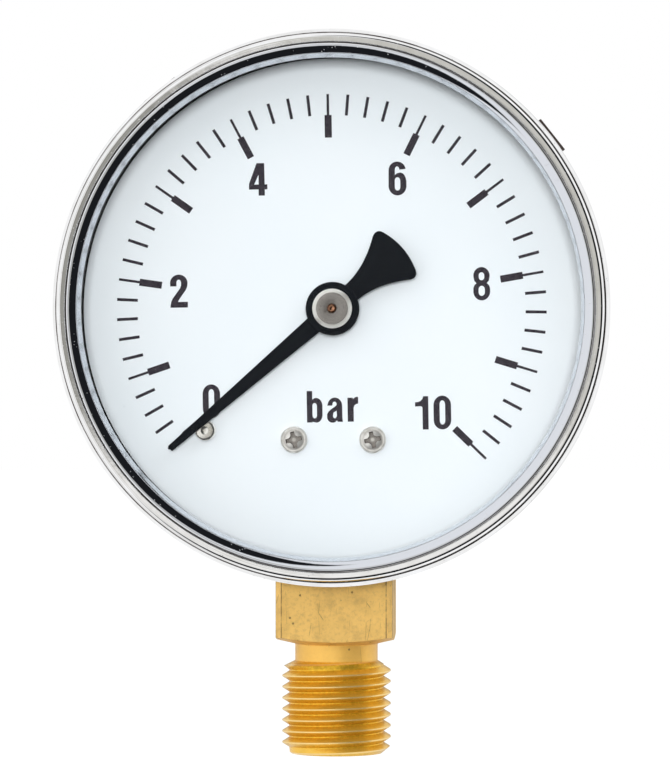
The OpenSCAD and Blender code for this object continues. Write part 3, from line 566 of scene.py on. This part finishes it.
def cut(piece, tool):
    """Cuts piece by tool, both in place, and drops the tool."""
    cutter = piece.modifiers.new("cut", "BOOLEAN")
    cutter.operation = "DIFFERENCE"
    cutter.solver = "EXACT"
    cutter.object = tool
    view = bpy.context.evaluated_depsgraph_get()
    mesh = bpy.data.meshes.new_from_object(piece.evaluated_get(view))
    piece.modifiers.clear()
    piece.data = mesh
    bpy.data.objects.remove(tool)


def loose_tool(bm):
    """An unnamed cutter, in metres."""
    bmesh.ops.scale(bm, vec=(MM, MM, MM), verts=bm.verts)
    mesh = bpy.data.meshes.new("cutter")
    bm.to_mesh(mesh)
    bm.free()
    tool = bpy.data.objects.new("cutter", mesh)
    bpy.context.scene.collection.objects.link(tool)
    return tool


def cut_piece(name, bm, tools, finish, **facts):
    """A piece cut by tools one after another, then finished."""
    rough = loose_tool(bm)
    for tool in tools:
        cut(rough, tool)
    bm = bmesh.new()
    bm.from_mesh(rough.data)
    bpy.data.objects.remove(rough)
    bmesh.ops.scale(bm, vec=(1 / MM,) * 3, verts=bm.verts)
    bmesh.ops.remove_doubles(bm, verts=bm.verts, dist=1e-4)
    return finished(name, bm, finish, **facts)


# ---------------------------------------------------------------- ring


# The windows for the case's four snap lugs: angle of the first, span along the axis, half width
LUG_ANGLE = 38.3
LUG_Y = (-11.4, -9.0)
LUG_HALF = 2.5
LUGS = 4


def snap_ring():
    """The chrome ring: skirt, shoulder, rolled bead, flat land, crease and a lip rolled in to the glass."""
    bead_r = RING_R - 0.72
    land_in, land_out = RING_R - 1.78, RING_R - 1.22
    crease = land_in - 0.12
    lip_r, throat = crease - 0.08, RING_R - 3.45
    outside = [(RING_R, SKIRT_Y), (RING_R, CREST_Y + 3.2), (RING_R - 0.16, CREST_Y + 2.98)]
    outside += [(RING_R - 0.46, CREST_Y + 2.7), (RING_R - 0.5, CREST_Y + 1.54), (bead_r, CREST_Y + 1.5)]
    outside += bow((land_out, CREST_Y + 0.7), (bead_r - land_out, -0.7), 2, 90, 13)
    outside += [(land_out - 0.06, CREST_Y), (land_in + 0.08, CREST_Y), (land_in, CREST_Y + 0.09)]
    outside += [(crease + 0.02, CREST_Y + 0.3), (crease, CREST_Y + 0.31)]
    lip = arc_by_tilt((lip_r, CREST_Y + 0.25), 1.75, 3, 40, 16)
    outside += lip + arc_by_tilt(lip[-1], 0.6, 44, 80, 9) + [(throat, GLASS_Y)]
    inside = [(throat + 0.42, GLASS_Y), (throat + 0.62, CREST_Y + 1.35), (throat + 0.85, CREST_Y + 0.98)]
    inside += [(lip_r, CREST_Y + 0.7), (land_out - 0.1, CREST_Y + 0.66), (land_out - 0.02, CREST_Y + 1.1)]
    inside += [(RING_R - 0.7, CREST_Y + 3.5), (RING_R - 0.5, CREST_Y + 3.9), (RING_R - 0.5, SKIRT_Y)]
    ring = turned(bmesh.new(), outside + inside, steps=288, closed=True)
    outward(ring)
    tools = []
    for lug in range(LUGS):
        window = bmesh.new()
        bmesh.ops.create_cube(window, size=1)
        through = 3
        size = Vector((through, LUG_Y[1] - LUG_Y[0], 2 * LUG_HALF))
        bmesh.ops.scale(window, vec=size, verts=window.verts)
        bmesh.ops.translate(window, vec=(RING_R, sum(LUG_Y) / 2, 0), verts=window.verts)
        turn = Matrix.Rotation(-math.radians(LUG_ANGLE + 360 / LUGS * lug), 3, "Y")
        bmesh.ops.rotate(window, cent=(0, 0, 0), matrix=turn, verts=window.verts)
        bmesh.ops.translate(window, vec=DIAL_CENTRE, verts=window.verts)
        tools.append(loose_tool(window))
    return cut_piece("snap_ring", ring, tools, "ring_chrome", slot="ring_chrome", stands_for=["bezel_ring"])


# ---------------------------------------------------------------- dial print


# The print sits a little turned, in degrees, and a little to the left of the pointer's axis
PRINT_TURN = 0.95
PRINT_SHIFT = -0.26
INK = 0.02
INK_LIFT = 0.002  # keeps the ink's back just inside the dial
TICK_OUT, TICK_STEP, TICK_IN = 25.7, 23.2, 20.5
FINE_HALF, STEM_HALF, WHOLE_HALF = 0.175, 0.15, 0.42
BAR_SWEEP = 27  # degrees of the scale for one bar


def stadium(centre, half_w, half_h, cap):
    """A counter with straight sides and elliptical ends."""
    x, z = centre
    reach = half_h - cap
    return bow((x, z + reach), (half_w, cap), 0, 180, 10) + bow((x, z - reach), (half_w, cap), 180, 360, 10)


def figure_zero():
    """A narrow nought."""
    outer = bow((1.045, 2.88), (1.045, 1.13), 0, 180, 16) + bow((1.045, 1.11), (1.045, 1.13), 180, 360, 16)
    return [outer, stadium((1.05, 2.0), 0.33, 1.45, 0.5)]


def figure_one():
    """A one with a curved flag."""
    flag = [(0.99, 3.97), (0.88, 3.66), (0.68, 3.43), (0.4, 3.3), (0, 3.26), (0, 2.76)]
    return [[(0.88, 0), (1.58, 0), (1.58, 3.97)] + flag + [(0.62, 2.79), (0.8, 2.74), (0.88, 2.6)]]


def figure_two():
    """A two with a flat foot."""
    outer = [(0, 0), (2.1, 0), (2.1, 0.68), (0.93, 0.68), (0.97, 0.8), (1.12, 1.05), (1.55, 1.65)]
    outer += [(1.88, 2.1), (2.05, 2.5)] + bow((1.05, 2.95), (1.05, 1.0), 0, 180, 18)
    outer += [(0.01, 2.55), (0.76, 2.55)] + bow((1.04, 2.95), (0.28, 0.4), 180, 0, 10)
    outer += [(1.31, 2.65), (1.2, 2.32), (0.65, 1.58), (0.3, 1.12), (0.1, 0.66), (0.04, 0.3)]
    return [outer]


def figure_four():
    """A four with a closed counter."""
    outer = [(1.14, 0), (1.88, 0), (1.88, 0.74), (2.2, 0.74), (2.2, 1.33), (1.88, 1.33), (1.86, 3.88)]
    outer += [(0.94, 3.88), (0, 1.4), (0, 0.74), (1.14, 0.74)]
    return [outer, [(1.16, 1.33), (0.62, 1.33), (1.16, 2.5)]]


def figure_six():
    """A six with a straight back."""
    outer = bow((1.065, 1.1), (1.065, 1.12), 180, 360, 16) + [(2.13, 1.7)]
    outer += bow((1.4, 1.7), (0.7, 1.0), 20, 100, 8) + [(0.98, 2.6), (0.77, 2.42), (0.77, 2.95)]
    outer += bow((1.04, 3.05), (0.27, 0.4), 180, 8, 9) + [(1.31, 3.06), (2.05, 3.12)]
    outer += bow((1.05, 3.0), (1.02, 1.02), 12, 180, 16)
    return [outer, stadium((1.07, 1.36), 0.33, 0.8, 0.42)]


def figure_eight():
    """An eight with a drawn-in waist."""
    waist = [(1.99, 1.45), (1.88, 1.78), (1.62, 2.04), (1.86, 2.32)]
    outer = bow((1.0, 1.05), (1.0, 1.07), 180, 360, 16) + waist + bow((1.0, 2.93), (0.97, 1.03), -15, 195, 20)
    outer += [(0.14, 2.32), (0.38, 2.04), (0.12, 1.78), (0.01, 1.45)]
    return [outer, stadium((1.0, 2.86), 0.33, 0.48, 0.36), stadium((1.0, 1.12), 0.37, 0.6, 0.42)]


def letter_b():
    outer = [(0, 0), (0, 3.76), (0.66, 3.76), (0.66, 2.72), (0.86, 2.87)]
    outer += bow((1.12, 1.95), (0.74, 0.97), 96, 0, 10) + bow((1.12, 0.92), (0.74, 0.95), 0, -92, 10)
    outer += [(0.86, 0.04), (0.66, 0.1), (0.66, 0)]
    return [outer, stadium((0.93, 1.4), 0.27, 0.92, 0.36)]


def letter_a():
    outer = [(1.94, 0.02), (1.88, 0.5), (1.87, 1.9)] + bow((1.0, 1.95), (0.87, 0.98), 10, 165, 14)
    outer += [(0.1, 1.98), (0.66, 1.98)] + bow((0.96, 2.15), (0.25, 0.3), 190, -30, 10)
    outer += [(1.02, 1.86), (0.6, 1.58), (0.26, 1.3), (0.06, 0.95)]
    outer += bow((0.72, 0.62), (0.67, 0.69), 185, 300, 9) + [(1.22, 0.2), (1.34, 0.02)]
    return [outer, bow((0.98, 0.86), (0.25, 0.42), 200, 380, 10) + [(1.2, 1.36), (0.82, 1.14)]]


def letter_r():
    outer = [(0, 0.02), (0, 2.88), (0.62, 2.88), (0.68, 2.68), (0.84, 2.88), (1.06, 2.97), (1.27, 2.98)]
    return [outer + [(1.27, 2.16), (1.02, 2.12), (0.82, 1.95), (0.72, 1.66), (0.72, 0.02)]]


# Each figure with the lower left corner of its place, from the scale's centre
LETTERING = [
    (figure_zero, -15.57, -12.76), (figure_two, -19.26, 0.5), (figure_four, -9.6, 13.72),
    (figure_six, 7.1, 13.45), (figure_eight, 17.0, 0.74), (figure_one, 9.82, -14.56),
    (figure_zero, 12.02, -14.56), (letter_b, -3.11, -13.5), (letter_a, -0.76, -13.5), (letter_r, 1.76, -13.5),
]


def tick(angle, profile):
    """A radial mark of the scale, from [distance, half width] points along one of its sides."""
    a = math.radians(angle)
    out, side = Vector((math.cos(a), math.sin(a))), Vector((-math.sin(a), math.cos(a)))
    corners = [out * r + side * w for r, w in profile] + [out * r - side * w for r, w in reversed(profile)]
    return [tuple(corner) for corner in corners]


def scale_ticks():
    """Fifths of a bar from 0.4 to 10 at even steps, and the zero mark one step below 0.4."""
    fine = [(TICK_STEP, FINE_HALF + 0.005), (TICK_OUT, FINE_HALF)]
    whole = [(TICK_IN, WHOLE_HALF), (TICK_STEP, WHOLE_HALF), (TICK_STEP, STEM_HALF), (TICK_OUT, STEM_HALF)]
    for fifth in range(1, 51):
        angle = 90 - (fifth / 5 - 5) * BAR_SWEEP
        yield tick(angle, whole if fifth % 5 == 0 or fifth == 1 else fine)


def flat_outlines(name, outlines):
    """A mesh of filled outlines a print's thickness high, with holes where one lies in another."""
    curve = bpy.data.curves.new(name, "CURVE")
    curve.dimensions = "2D"
    curve.fill_mode = "BOTH"
    curve.extrude = INK / 2 * MM
    for outline in outlines:
        line = curve.splines.new("POLY")
        line.points.add(len(outline) - 1)
        line.use_cyclic_u = True
        for point, (x, z) in zip(line.points, outline):
            point.co = (x * MM, z * MM, 0, 1)
    drawn = bpy.data.objects.new(name, curve)
    mesh = bpy.data.meshes.new_from_object(drawn)
    bpy.data.objects.remove(drawn)
    bm = bmesh.new()
    bm.from_mesh(mesh)
    bmesh.ops.scale(bm, vec=(1 / MM,) * 3, verts=bm.verts)
    bmesh.ops.remove_doubles(bm, verts=bm.verts, dist=1e-4)
    return bm


def on_dial(bm):
    """Stands a flat drawing up on the dial's face, where the print sits."""
    upright = Matrix.Rotation(math.radians(90), 3, "X")
    turn = Matrix.Rotation(-math.radians(PRINT_TURN), 3, "Y")
    bmesh.ops.rotate(bm, cent=(0, 0, 0), matrix=turn @ upright, verts=bm.verts)
    at = Vector((PRINT_SHIFT, DIAL_Y - INK / 2 + INK_LIFT, AXIS_Z))
    bmesh.ops.translate(bm, vec=at, verts=bm.verts)
    return outward(bm)


def dial_scale():
    marks = on_dial(flat_outlines("ticks", list(scale_ticks())))
    return finished("dial_scale", marks, "ink", slot="dial_white")


def dial_figures():
    outlines = []
    for shape, left, base in LETTERING:
        outlines += [[(x + left, z + base) for x, z in outline] for outline in shape()]
    return finished("dial_figures", on_dial(flat_outlines("figures", outlines)), "ink", slot="dial_white")


# ---------------------------------------------------------------- pointer


REST_ANGLE = 220.65
BLADE_T = 0.4
HUB_R = 3.18
FLARE_START, WAIST_HALF = 3, 1.15


def tail_width(u):
    """Half width of the counterweight at a distance from the axis: straight, then flaring."""
    return WAIST_HALF + 0.067 * max(0, u - FLARE_START) ** 1.92


def pointer_outline():
    """Half of the pointer's outline, tip to tail, along +X."""
    length, tail, tail_round = 25.6, 11.02, 8.4
    tip, root, corner_r, corner_v = 0.38, 1.16, 0.75, 2.8
    reach, end_u = tail_round - corner_r, tail - tail_round
    lean = math.asin(corner_v / reach)
    corner_u = end_u + reach * math.cos(lean)
    half = [(length, 0), (length, tip - 0.14)] + bow((length - 0.12, tip - 0.12), (0.12, 0.12), 20, 88, 3)
    half += [(0, root), (-1.5, WAIST_HALF)]
    flare = [FLARE_START + (corner_u - FLARE_START - 0.46) * i / 14 for i in range(15)]
    half += [(-u, tail_width(u)) for u in flare]
    half += bow((-corner_u, corner_v), (corner_r, corner_r), 62, 180 - math.degrees(lean), 9)
    turns = [lean * (1 - i / 7) for i in range(1, 8)]
    half += [(-end_u - tail_round * math.cos(a), tail_round * math.sin(a)) for a in turns]
    return half


def pointer_blade():
    """The black blade with its counterweight, and the hub disc with its bore."""
    half = pointer_outline()
    outline = half + [(u, -v) for u, v in reversed(half[1:-1])]
    bm = bmesh.new()
    face = bm.faces.new([bm.verts.new((u, BLADE_BACK_Y, v)) for u, v in outline])
    raised = bmesh.ops.extrude_face_region(bm, geom=[face])
    top = [v for v in raised["geom"] if isinstance(v, bmesh.types.BMVert)]
    bmesh.ops.translate(bm, vec=(0, -BLADE_T, 0), verts=top)
    rims = [e for e in bm.edges if all(v in set(top) for v in e.verts)]
    settings = dict(affect="EDGES", offset_type="OFFSET", segments=3, profile=0.5, material=-1)
    bmesh.ops.bevel(bm, geom=rims, offset=0.07, **settings)
    turn = Matrix.Rotation(-math.radians(REST_ANGLE), 3, "Y")
    bmesh.ops.rotate(bm, cent=(0, 0, 0), matrix=turn, verts=bm.verts)
    bmesh.ops.translate(bm, vec=DIAL_CENTRE, verts=bm.verts)
    bore, ease = 1.47, 0.16
    hub = [(bore, BLADE_BACK_Y), (HUB_R, BLADE_BACK_Y), (HUB_R, HUB_Y + ease)]
    hub += bow((HUB_R - ease, HUB_Y + ease), (ease, -ease), 15, 90, 4) + [(bore, HUB_Y)]
    turned(bm, hub, steps=96, closed=True)
    outward(bm)
    return finished("pointer_blade", bm, "pointer_black", "pointer_group", "pointer_black", ["pointer"])


def bush():
    """The bright bush: spigot, straight side, wide chamfer and a faced end with its bore."""
    chamfer, ease = 0.45, 0.05
    nose = BUSH_R - chamfer
    outline = [(0.51, bush_high.y), (1.45, bush_high.y), (1.45, HUB_Y), (BUSH_R, HUB_Y)]
    outline += [(BUSH_R, BUSH_Y + chamfer + ease), (BUSH_R - ease * 0.4, BUSH_Y + chamfer + ease * 0.2)]
    outline += [(nose + ease, BUSH_Y + ease * 0.6), (nose, BUSH_Y + ease * 0.12), (nose - ease, BUSH_Y)]
    outline += [(0.62, BUSH_Y), (0.56, BUSH_Y + 0.02), (0.51, BUSH_Y + 0.1)]
    bm = outward(turned(bmesh.new(), outline, steps=128, closed=True))
    return finished("bush", bm, "bush_nickel", "pointer_group", "nickel", ["pointer_bush"], crease=20)


# ---------------------------------------------------------------- screws


def cross_recess(top):
    """A tapered cross with eased inner corners, along Y from the head's face."""
    arm, half, throat, depth = 1.2, 0.3, 0.47, 0.6
    flare, turned_by, taper = 0.14, 12, 0.7
    quarter = [(arm, -half), (arm, half), (throat + flare, half + 0.03), (throat, throat)]
    quarter += [(half + 0.03, throat + flare)]
    turns = [Matrix.Rotation(math.radians(90 * k + turned_by), 2) for k in range(4)]
    outline = [turn @ Vector(corner) for turn in turns for corner in quarter]
    bm = bmesh.new()
    face = bm.faces.new([bm.verts.new((x, top - 0.4, z)) for x, z in outline])
    deep = bmesh.ops.extrude_face_region(bm, geom=[face])["geom"]
    for v in deep:
        if isinstance(v, bmesh.types.BMVert):
            v.co = Vector((v.co.x * taper, top + depth, v.co.z * taper))
    return outward(bm)


def dial_screw(name, x):
    """A small pan head with a cross recess, and its shank."""
    r, seat, shank_r, shank_end = SCREW_R, DIAL_Y, 0.8, DIAL_Y + 4.0
    rim, crown = 0.42, 3.2
    at = Vector((x, 0, SCREW_Z))
    outline = [(0, shank_end), (shank_r, shank_end), (shank_r, seat), (r - 0.06, seat), (r, seat - 0.06)]
    outline += bow((r - rim, seat - 0.5), (rim, -rim), 0, 58, 7)
    outline += bow((0, SCREW_TOP + crown), (crown, -crown), 68, 90, 8)
    head = outward(turned(bmesh.new(), outline, steps=72, centre=at))
    recess = cross_recess(SCREW_TOP)
    bmesh.ops.translate(recess, vec=at, verts=recess.verts)
    stands = ["dial_screws"] if x < 0 else []
    return cut_piece(name, head, [loose_tool(recess)], "screw_nickel", slot="nickel", stands_for=stands)


def stop():
    """The pin that the pointer rests on: a shouldered post with a flat, eased face."""
    r, face, rivet_r, ease = (stop_high.x - stop_low.x) / 2, stop_low.y, 0.7, 0.3
    at = Vector(((stop_low.x + stop_high.x) / 2, 0, (stop_low.z + stop_high.z) / 2))
    outline = [(0, stop_high.y), (rivet_r, stop_high.y), (rivet_r, DIAL_Y), (r, DIAL_Y), (r, face + ease)]
    outline += bow((r - ease, face + ease), (ease, -0.27), 12, 80, 5)
    outline += [(0.5, face), (0.44, face + 0.05), (0, face + 0.07)]
    pin = outward(turned(bmesh.new(), outline, steps=64, centre=at))
    return finished("stop", pin, "pin_nickel", slot="nickel", stands_for=["stop_pin"], crease=40)


# ---------------------------------------------------------------- stem


def thread_shell():
    """A right-hand helical thread, its ends turned down to the lead chamfer and to the neck."""
    rise = PITCH / 2
    flank = [(ROOT_R, 0.0), (ROOT_R, 0.06)]
    flank += [(CREST_R - 0.08, rise - 0.13), (CREST_R, rise - 0.07), (CREST_R, rise + 0.07)]
    flank += [(CREST_R - 0.08, rise + 0.13), (ROOT_R, PITCH - 0.06), (ROOT_R, PITCH)]
    turns = math.ceil((THREAD_TOP + PITCH) / PITCH) + 1
    steps = 96
    bm = bmesh.new()
    verts = [bm.verts.new((r, 0, z - 2 * PITCH)) for r, z in flank]
    edges = [bm.edges.new(pair) for pair in zip(verts, verts[1:])]
    climb = Vector((0, 0, PITCH / steps))
    bmesh.ops.spin(
        bm, geom=verts + edges, cent=(0, 0, 0), axis=(0, 0, 1), dvec=climb,
        angle=math.tau * turns, steps=steps * turns,
    )
    bmesh.ops.remove_doubles(bm, verts=bm.verts, dist=1e-3)
    for height, side in ((0.0, -1), (THREAD_TOP, 1)):
        whole = list(bm.verts) + list(bm.edges) + list(bm.faces)
        plane = dict(plane_co=(0, 0, height), plane_no=(0, 0, side), clear_outer=True, dist=1e-5)
        bmesh.ops.bisect_plane(bm, geom=whole, **plane)
    for v in bm.verts:
        r = math.hypot(v.co.x, v.co.y)
        lead = LEAD_R + (CREST_R - LEAD_R) * v.co.z / LEAD_H
        run_out = NECK_R + (THREAD_TOP - v.co.z) * 2.0
        limit = min(r, max(lead, LEAD_R), max(run_out, NECK_R))
        v.co.x *= limit / r
        v.co.y *= limit / r
    return bm


def stem():
    """The stem below the wrench square: bored end, thread, neck and the start of the shoulder."""
    bm = outward(thread_shell())
    up = dict(centre=Vector((0, 0, 0)), axis=(0, 0, 1), steps=96)
    ease, fillet = 0.25, 0.1
    inlet = [(LEAD_R, 0), (BORE_R + ease, 0), (BORE_R, ease), (BORE_R, BORE_LEN), (0.0, BORE_LEN + 0.01)]
    turned(bm, inlet, **up)
    neck = [(NECK_R, THREAD_TOP), (NECK_R, NECK_TOP - fillet), (NECK_R + fillet, NECK_TOP)]
    turned(bm, neck + [(FLAT - 0.1, NECK_TOP + 0.42)], **up)
    bmesh.ops.remove_doubles(bm, verts=bm.verts, dist=2e-3)
    outward(bm)
    return finished("stem_thread", bm, "stem_brass", slot="brass_turned", stands_for=["socket"], crease=24)


def stem_block():
    """The square above the neck, its lower corners turned to a cone, and the block that the case holds."""
    source = frame["nodes"]["socket"].data
    bm = bmesh.new()
    bm.from_mesh(source)
    bmesh.ops.scale(bm, vec=(1 / MM,) * 3, verts=bm.verts)
    bmesh.ops.remove_doubles(bm, verts=bm.verts, dist=1e-4)
    whole = list(bm.verts) + list(bm.edges) + list(bm.faces)
    plane = dict(plane_co=(0, 0, NECK_TOP - 0.01), plane_no=(0, 0, -1), clear_outer=True, dist=1e-5)
    bmesh.ops.bisect_plane(bm, geom=whole, **plane)
    for v in bm.verts:
        reach = math.hypot(v.co.x, v.co.y)
        if v.co.z < NECK_TOP + 1.0 and reach > NECK_R + 0.1:
            v.co.z = NECK_TOP + (reach - NECK_R) * SHOULDER_LEAN
    return finished("stem_block", bm, "stem_brass", slot="brass_turned", crease=12)


# ---------------------------------------------------------------- bourdon tube


TUBE_R, TUBE_THICK, TUBE_WIDE = 22.5, 2.4, 5.6
TIP_ANGLE, ROOT_ANGLE = -15.0, 262.0  # degrees from +X towards +Z


def coiled_tube():
    """The flattened tube, bending between its root in the block and its tip."""
    middle = (tube_low.y + tube_high.y) / 2
    flat = TUBE_WIDE / 2 - TUBE_THICK / 2
    half = TUBE_THICK / 2
    section = bow((TUBE_R, middle + flat), (half, half), 0, 180, 8)
    section += bow((TUBE_R, middle - flat), (half, half), 180, 360, 8)
    bm = bmesh.new()
    verts = [bm.verts.new(DIAL_CENTRE + Vector((r, y, 0))) for r, y in section]
    loop = [bm.edges.new(pair) for pair in zip(verts, verts[1:] + verts[:1])]
    first = Matrix.Rotation(-math.radians(TIP_ANGLE), 3, "Y")
    bmesh.ops.rotate(bm, cent=DIAL_CENTRE, matrix=first, verts=bm.verts)
    sweep = math.radians(ROOT_ANGLE - TIP_ANGLE)
    bmesh.ops.spin(bm, geom=verts + loop, cent=DIAL_CENTRE, axis=(0, -1, 0), angle=sweep, steps=110)
    bmesh.ops.holes_fill(bm, edges=[e for e in bm.edges if e.is_boundary], sides=0)
    outward(bm)
    tube = finished("coiled_tube", bm, "spring_bronze", None, "spring_bronze", ["bourdon_tube"])

    def at(angle):
        """A point of the tube's middle line, in metres."""
        a = math.radians(angle)
        return (DIAL_CENTRE + Vector((math.cos(a), 0, math.sin(a))) * TUBE_R + Vector((0, middle, 0))) * MM

    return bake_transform(tube)


# ---------------------------------------------------------------- stage


LENS = 192.5
CAMERA_AT = (24.0, -497.5, 42.0)
CAMERA_AIM = (0.67, -17.5, 44.6)


def camera():
    """Long lens, a little to the right of the dial and below its centre."""
    data = bpy.data.cameras.new("camera")
    data.lens = LENS
    data.clip_start, data.clip_end = 0.01, 20
    eye = bpy.data.objects.new("camera", data)
    bpy.context.scene.collection.objects.link(eye)
    eye.location = Vector(CAMERA_AT) * MM
    aim = Vector(CAMERA_AIM) * MM - eye.location
    eye.rotation_euler = aim.to_track_quat("-Z", "Y").to_euler()
    bpy.context.scene.camera = eye


def softbox(name, towards, distance, size, level, tint=(1, 1, 1)):
    """A square lamp that lights the dial by so much of its plain colour. It isn't seen in the metal."""
    data = bpy.data.lights.new(name, "AREA")
    data.shape = "SQUARE"
    data.size = size
    data.energy = level * math.pi ** 2 * distance ** 2
    data.color = tint
    lamp = bpy.data.objects.new(name, data)
    bpy.context.scene.collection.objects.link(lamp)
    out = Vector(towards).normalized()
    lamp.location = DIAL_CENTRE * MM + out * distance
    lamp.rotation_euler = (-out).to_track_quat("-Z", "Y").to_euler()
    lamp.visible_glossy = False
    lamp.visible_camera = False
    lamp.visible_transmission = False


class Surroundings(Finish):
    """The world's nodes, worked out in the same way as a finish."""

    def __init__(self, world):
        world.use_nodes = True
        self.tree = world.node_tree
        self.shader = self.tree.nodes["Background"]
        self.way = self.add("TexCoord", out="Generated")

    def facing(self, direction):
        """Cosine between the view's direction and this one."""
        unit = Vector(direction).normalized()
        inputs = {0: self.way, 1: tuple(unit)}
        return self.add("VectorMath", {"operation": "DOT_PRODUCT"}, inputs, out="Value")

def studio():
    """White backdrop to the eye, even pale light on the object, and cards that the metal mirrors."""
    world = bpy.data.worlds.new("studio")
    bpy.context.scene.world = world
    s = Surroundings(world)
    flag, card = (0.014, 0.015, 0.017), (1.0, 1.0, 1.0)
    forward = s.facing((0, -1, 0))
    taper = (forward - 0.65).maths("ABSOLUTE") * 0.8
    upper = (s.facing((-0.996, 0, -0.087)) + taper).over(0.0, 0.09)
    lower = (s.facing((-0.669, 0, 0.743)) + taper).over(0.0, 0.09)
    ahead = forward.over(0.945, 0.965)
    dim = s.facing((-0.1134, -0.9927, 0.042)).over(0.9978, 0.9994)
    beyond = s.facing((0, 1, 0)).over(-0.22, -0.12)
    behind = s.facing((0, 1, 0)).over(0.93, 0.97)
    sides = s.blend(upper * lower, flag, card)
    duller = s.facing((0.8, 0, 0.6)).over(-0.01, 0.015)
    ceiling = s.blend(duller, (0.90, 0.89, 0.87), (0.60, 0.59, 0.55))
    room = s.blend(ahead, sides, s.blend(dim, ceiling, (0.33, 0.325, 0.30)))
    cards = s.blend(beyond, room, card)
    mirrored = s.blend(behind, cards, (0.42, 0.41, 0.40))
    even = s.blend(forward.over(0.66, 1.0), (0.13, 0.14, 0.16), (0.42, 0.43, 0.44))
    lit = s.blend(s.add("LightPath", out="Is Glossy Ray"), even, mirrored)
    s.set(Color=s.blend(s.add("LightPath", out="Is Camera Ray"), lit, (1.0, 1.0, 1.0)))


FLOOR_R = 2.2  # metres


def floor():
    """Pale floor that keeps the shadow, as white to the eye as the backdrop. Metal looks through it."""
    f = Finish("floor", Roughness=0.9)
    f.set(Base_Color=f.blend(f.noise(0.004, 2.0), (0.90, 0.90, 0.90), (0.92, 0.92, 0.92)))
    seen = f.add("LightPath", out="Is Camera Ray")
    mirrored = f.add("LightPath", out="Is Glossy Ray")
    white = f.add("Emission", inputs={"Color": (1.0, 1.0, 1.0), "Strength": 1.12})
    clear = f.add("BsdfTransparent")
    lit = f.add("MixShader", inputs={0: seen * 0.93, 1: Value(f, f.shader.outputs[0]), 2: white})
    both = f.add("MixShader", inputs={0: mirrored, 1: lit, 2: clear})
    f.tree.links.new(both.socket, f.tree.nodes["Material Output"].inputs["Surface"])
    bm = bmesh.new()
    bmesh.ops.create_circle(bm, cap_ends=True, segments=96, radius=FLOOR_R)
    mesh = bpy.data.meshes.new("floor")
    bm.to_mesh(mesh)
    bm.free()
    mesh.materials.append(f.material)
    ground = bpy.data.objects.new("floor", mesh)
    bpy.context.scene.collection.objects.link(ground)


# ---------------------------------------------------------------- build


def dress_frame():
    """Gives every carried-over node its finish."""
    slots = {part["node"]: part["material_slot"] for part in frame["record"]["subparts"]}
    for node, piece in frame["nodes"].items():
        finish = "steel" if node in STEEL_NODES else slots[node]
        for place in piece.material_slots:
            place.material = FINISHES[finish]


camera()
studio()
softbox("front", (0.03, -1.0, 0.03), 1.3, 0.3, 0.79)
softbox("key", (0.48, -0.72, 0.50), 0.6, 0.42, 0.44, (0.97, 0.985, 1.0))
softbox("fill", (-0.75, -0.6, -0.1), 0.7, 0.5, 0.04, (0.95, 0.98, 1.0))
floor()
dress_frame()
snap_ring()
dial_scale()
dial_figures()
pointer_blade()
bush()
stop()
dial_screw("dial_screw_left", SCREWS_X[0])
dial_screw("dial_screw_right", SCREWS_X[1])
stem()
stem_block()
coiled_tube()
bpy.context.scene.view_settings.view_transform = "Standard"
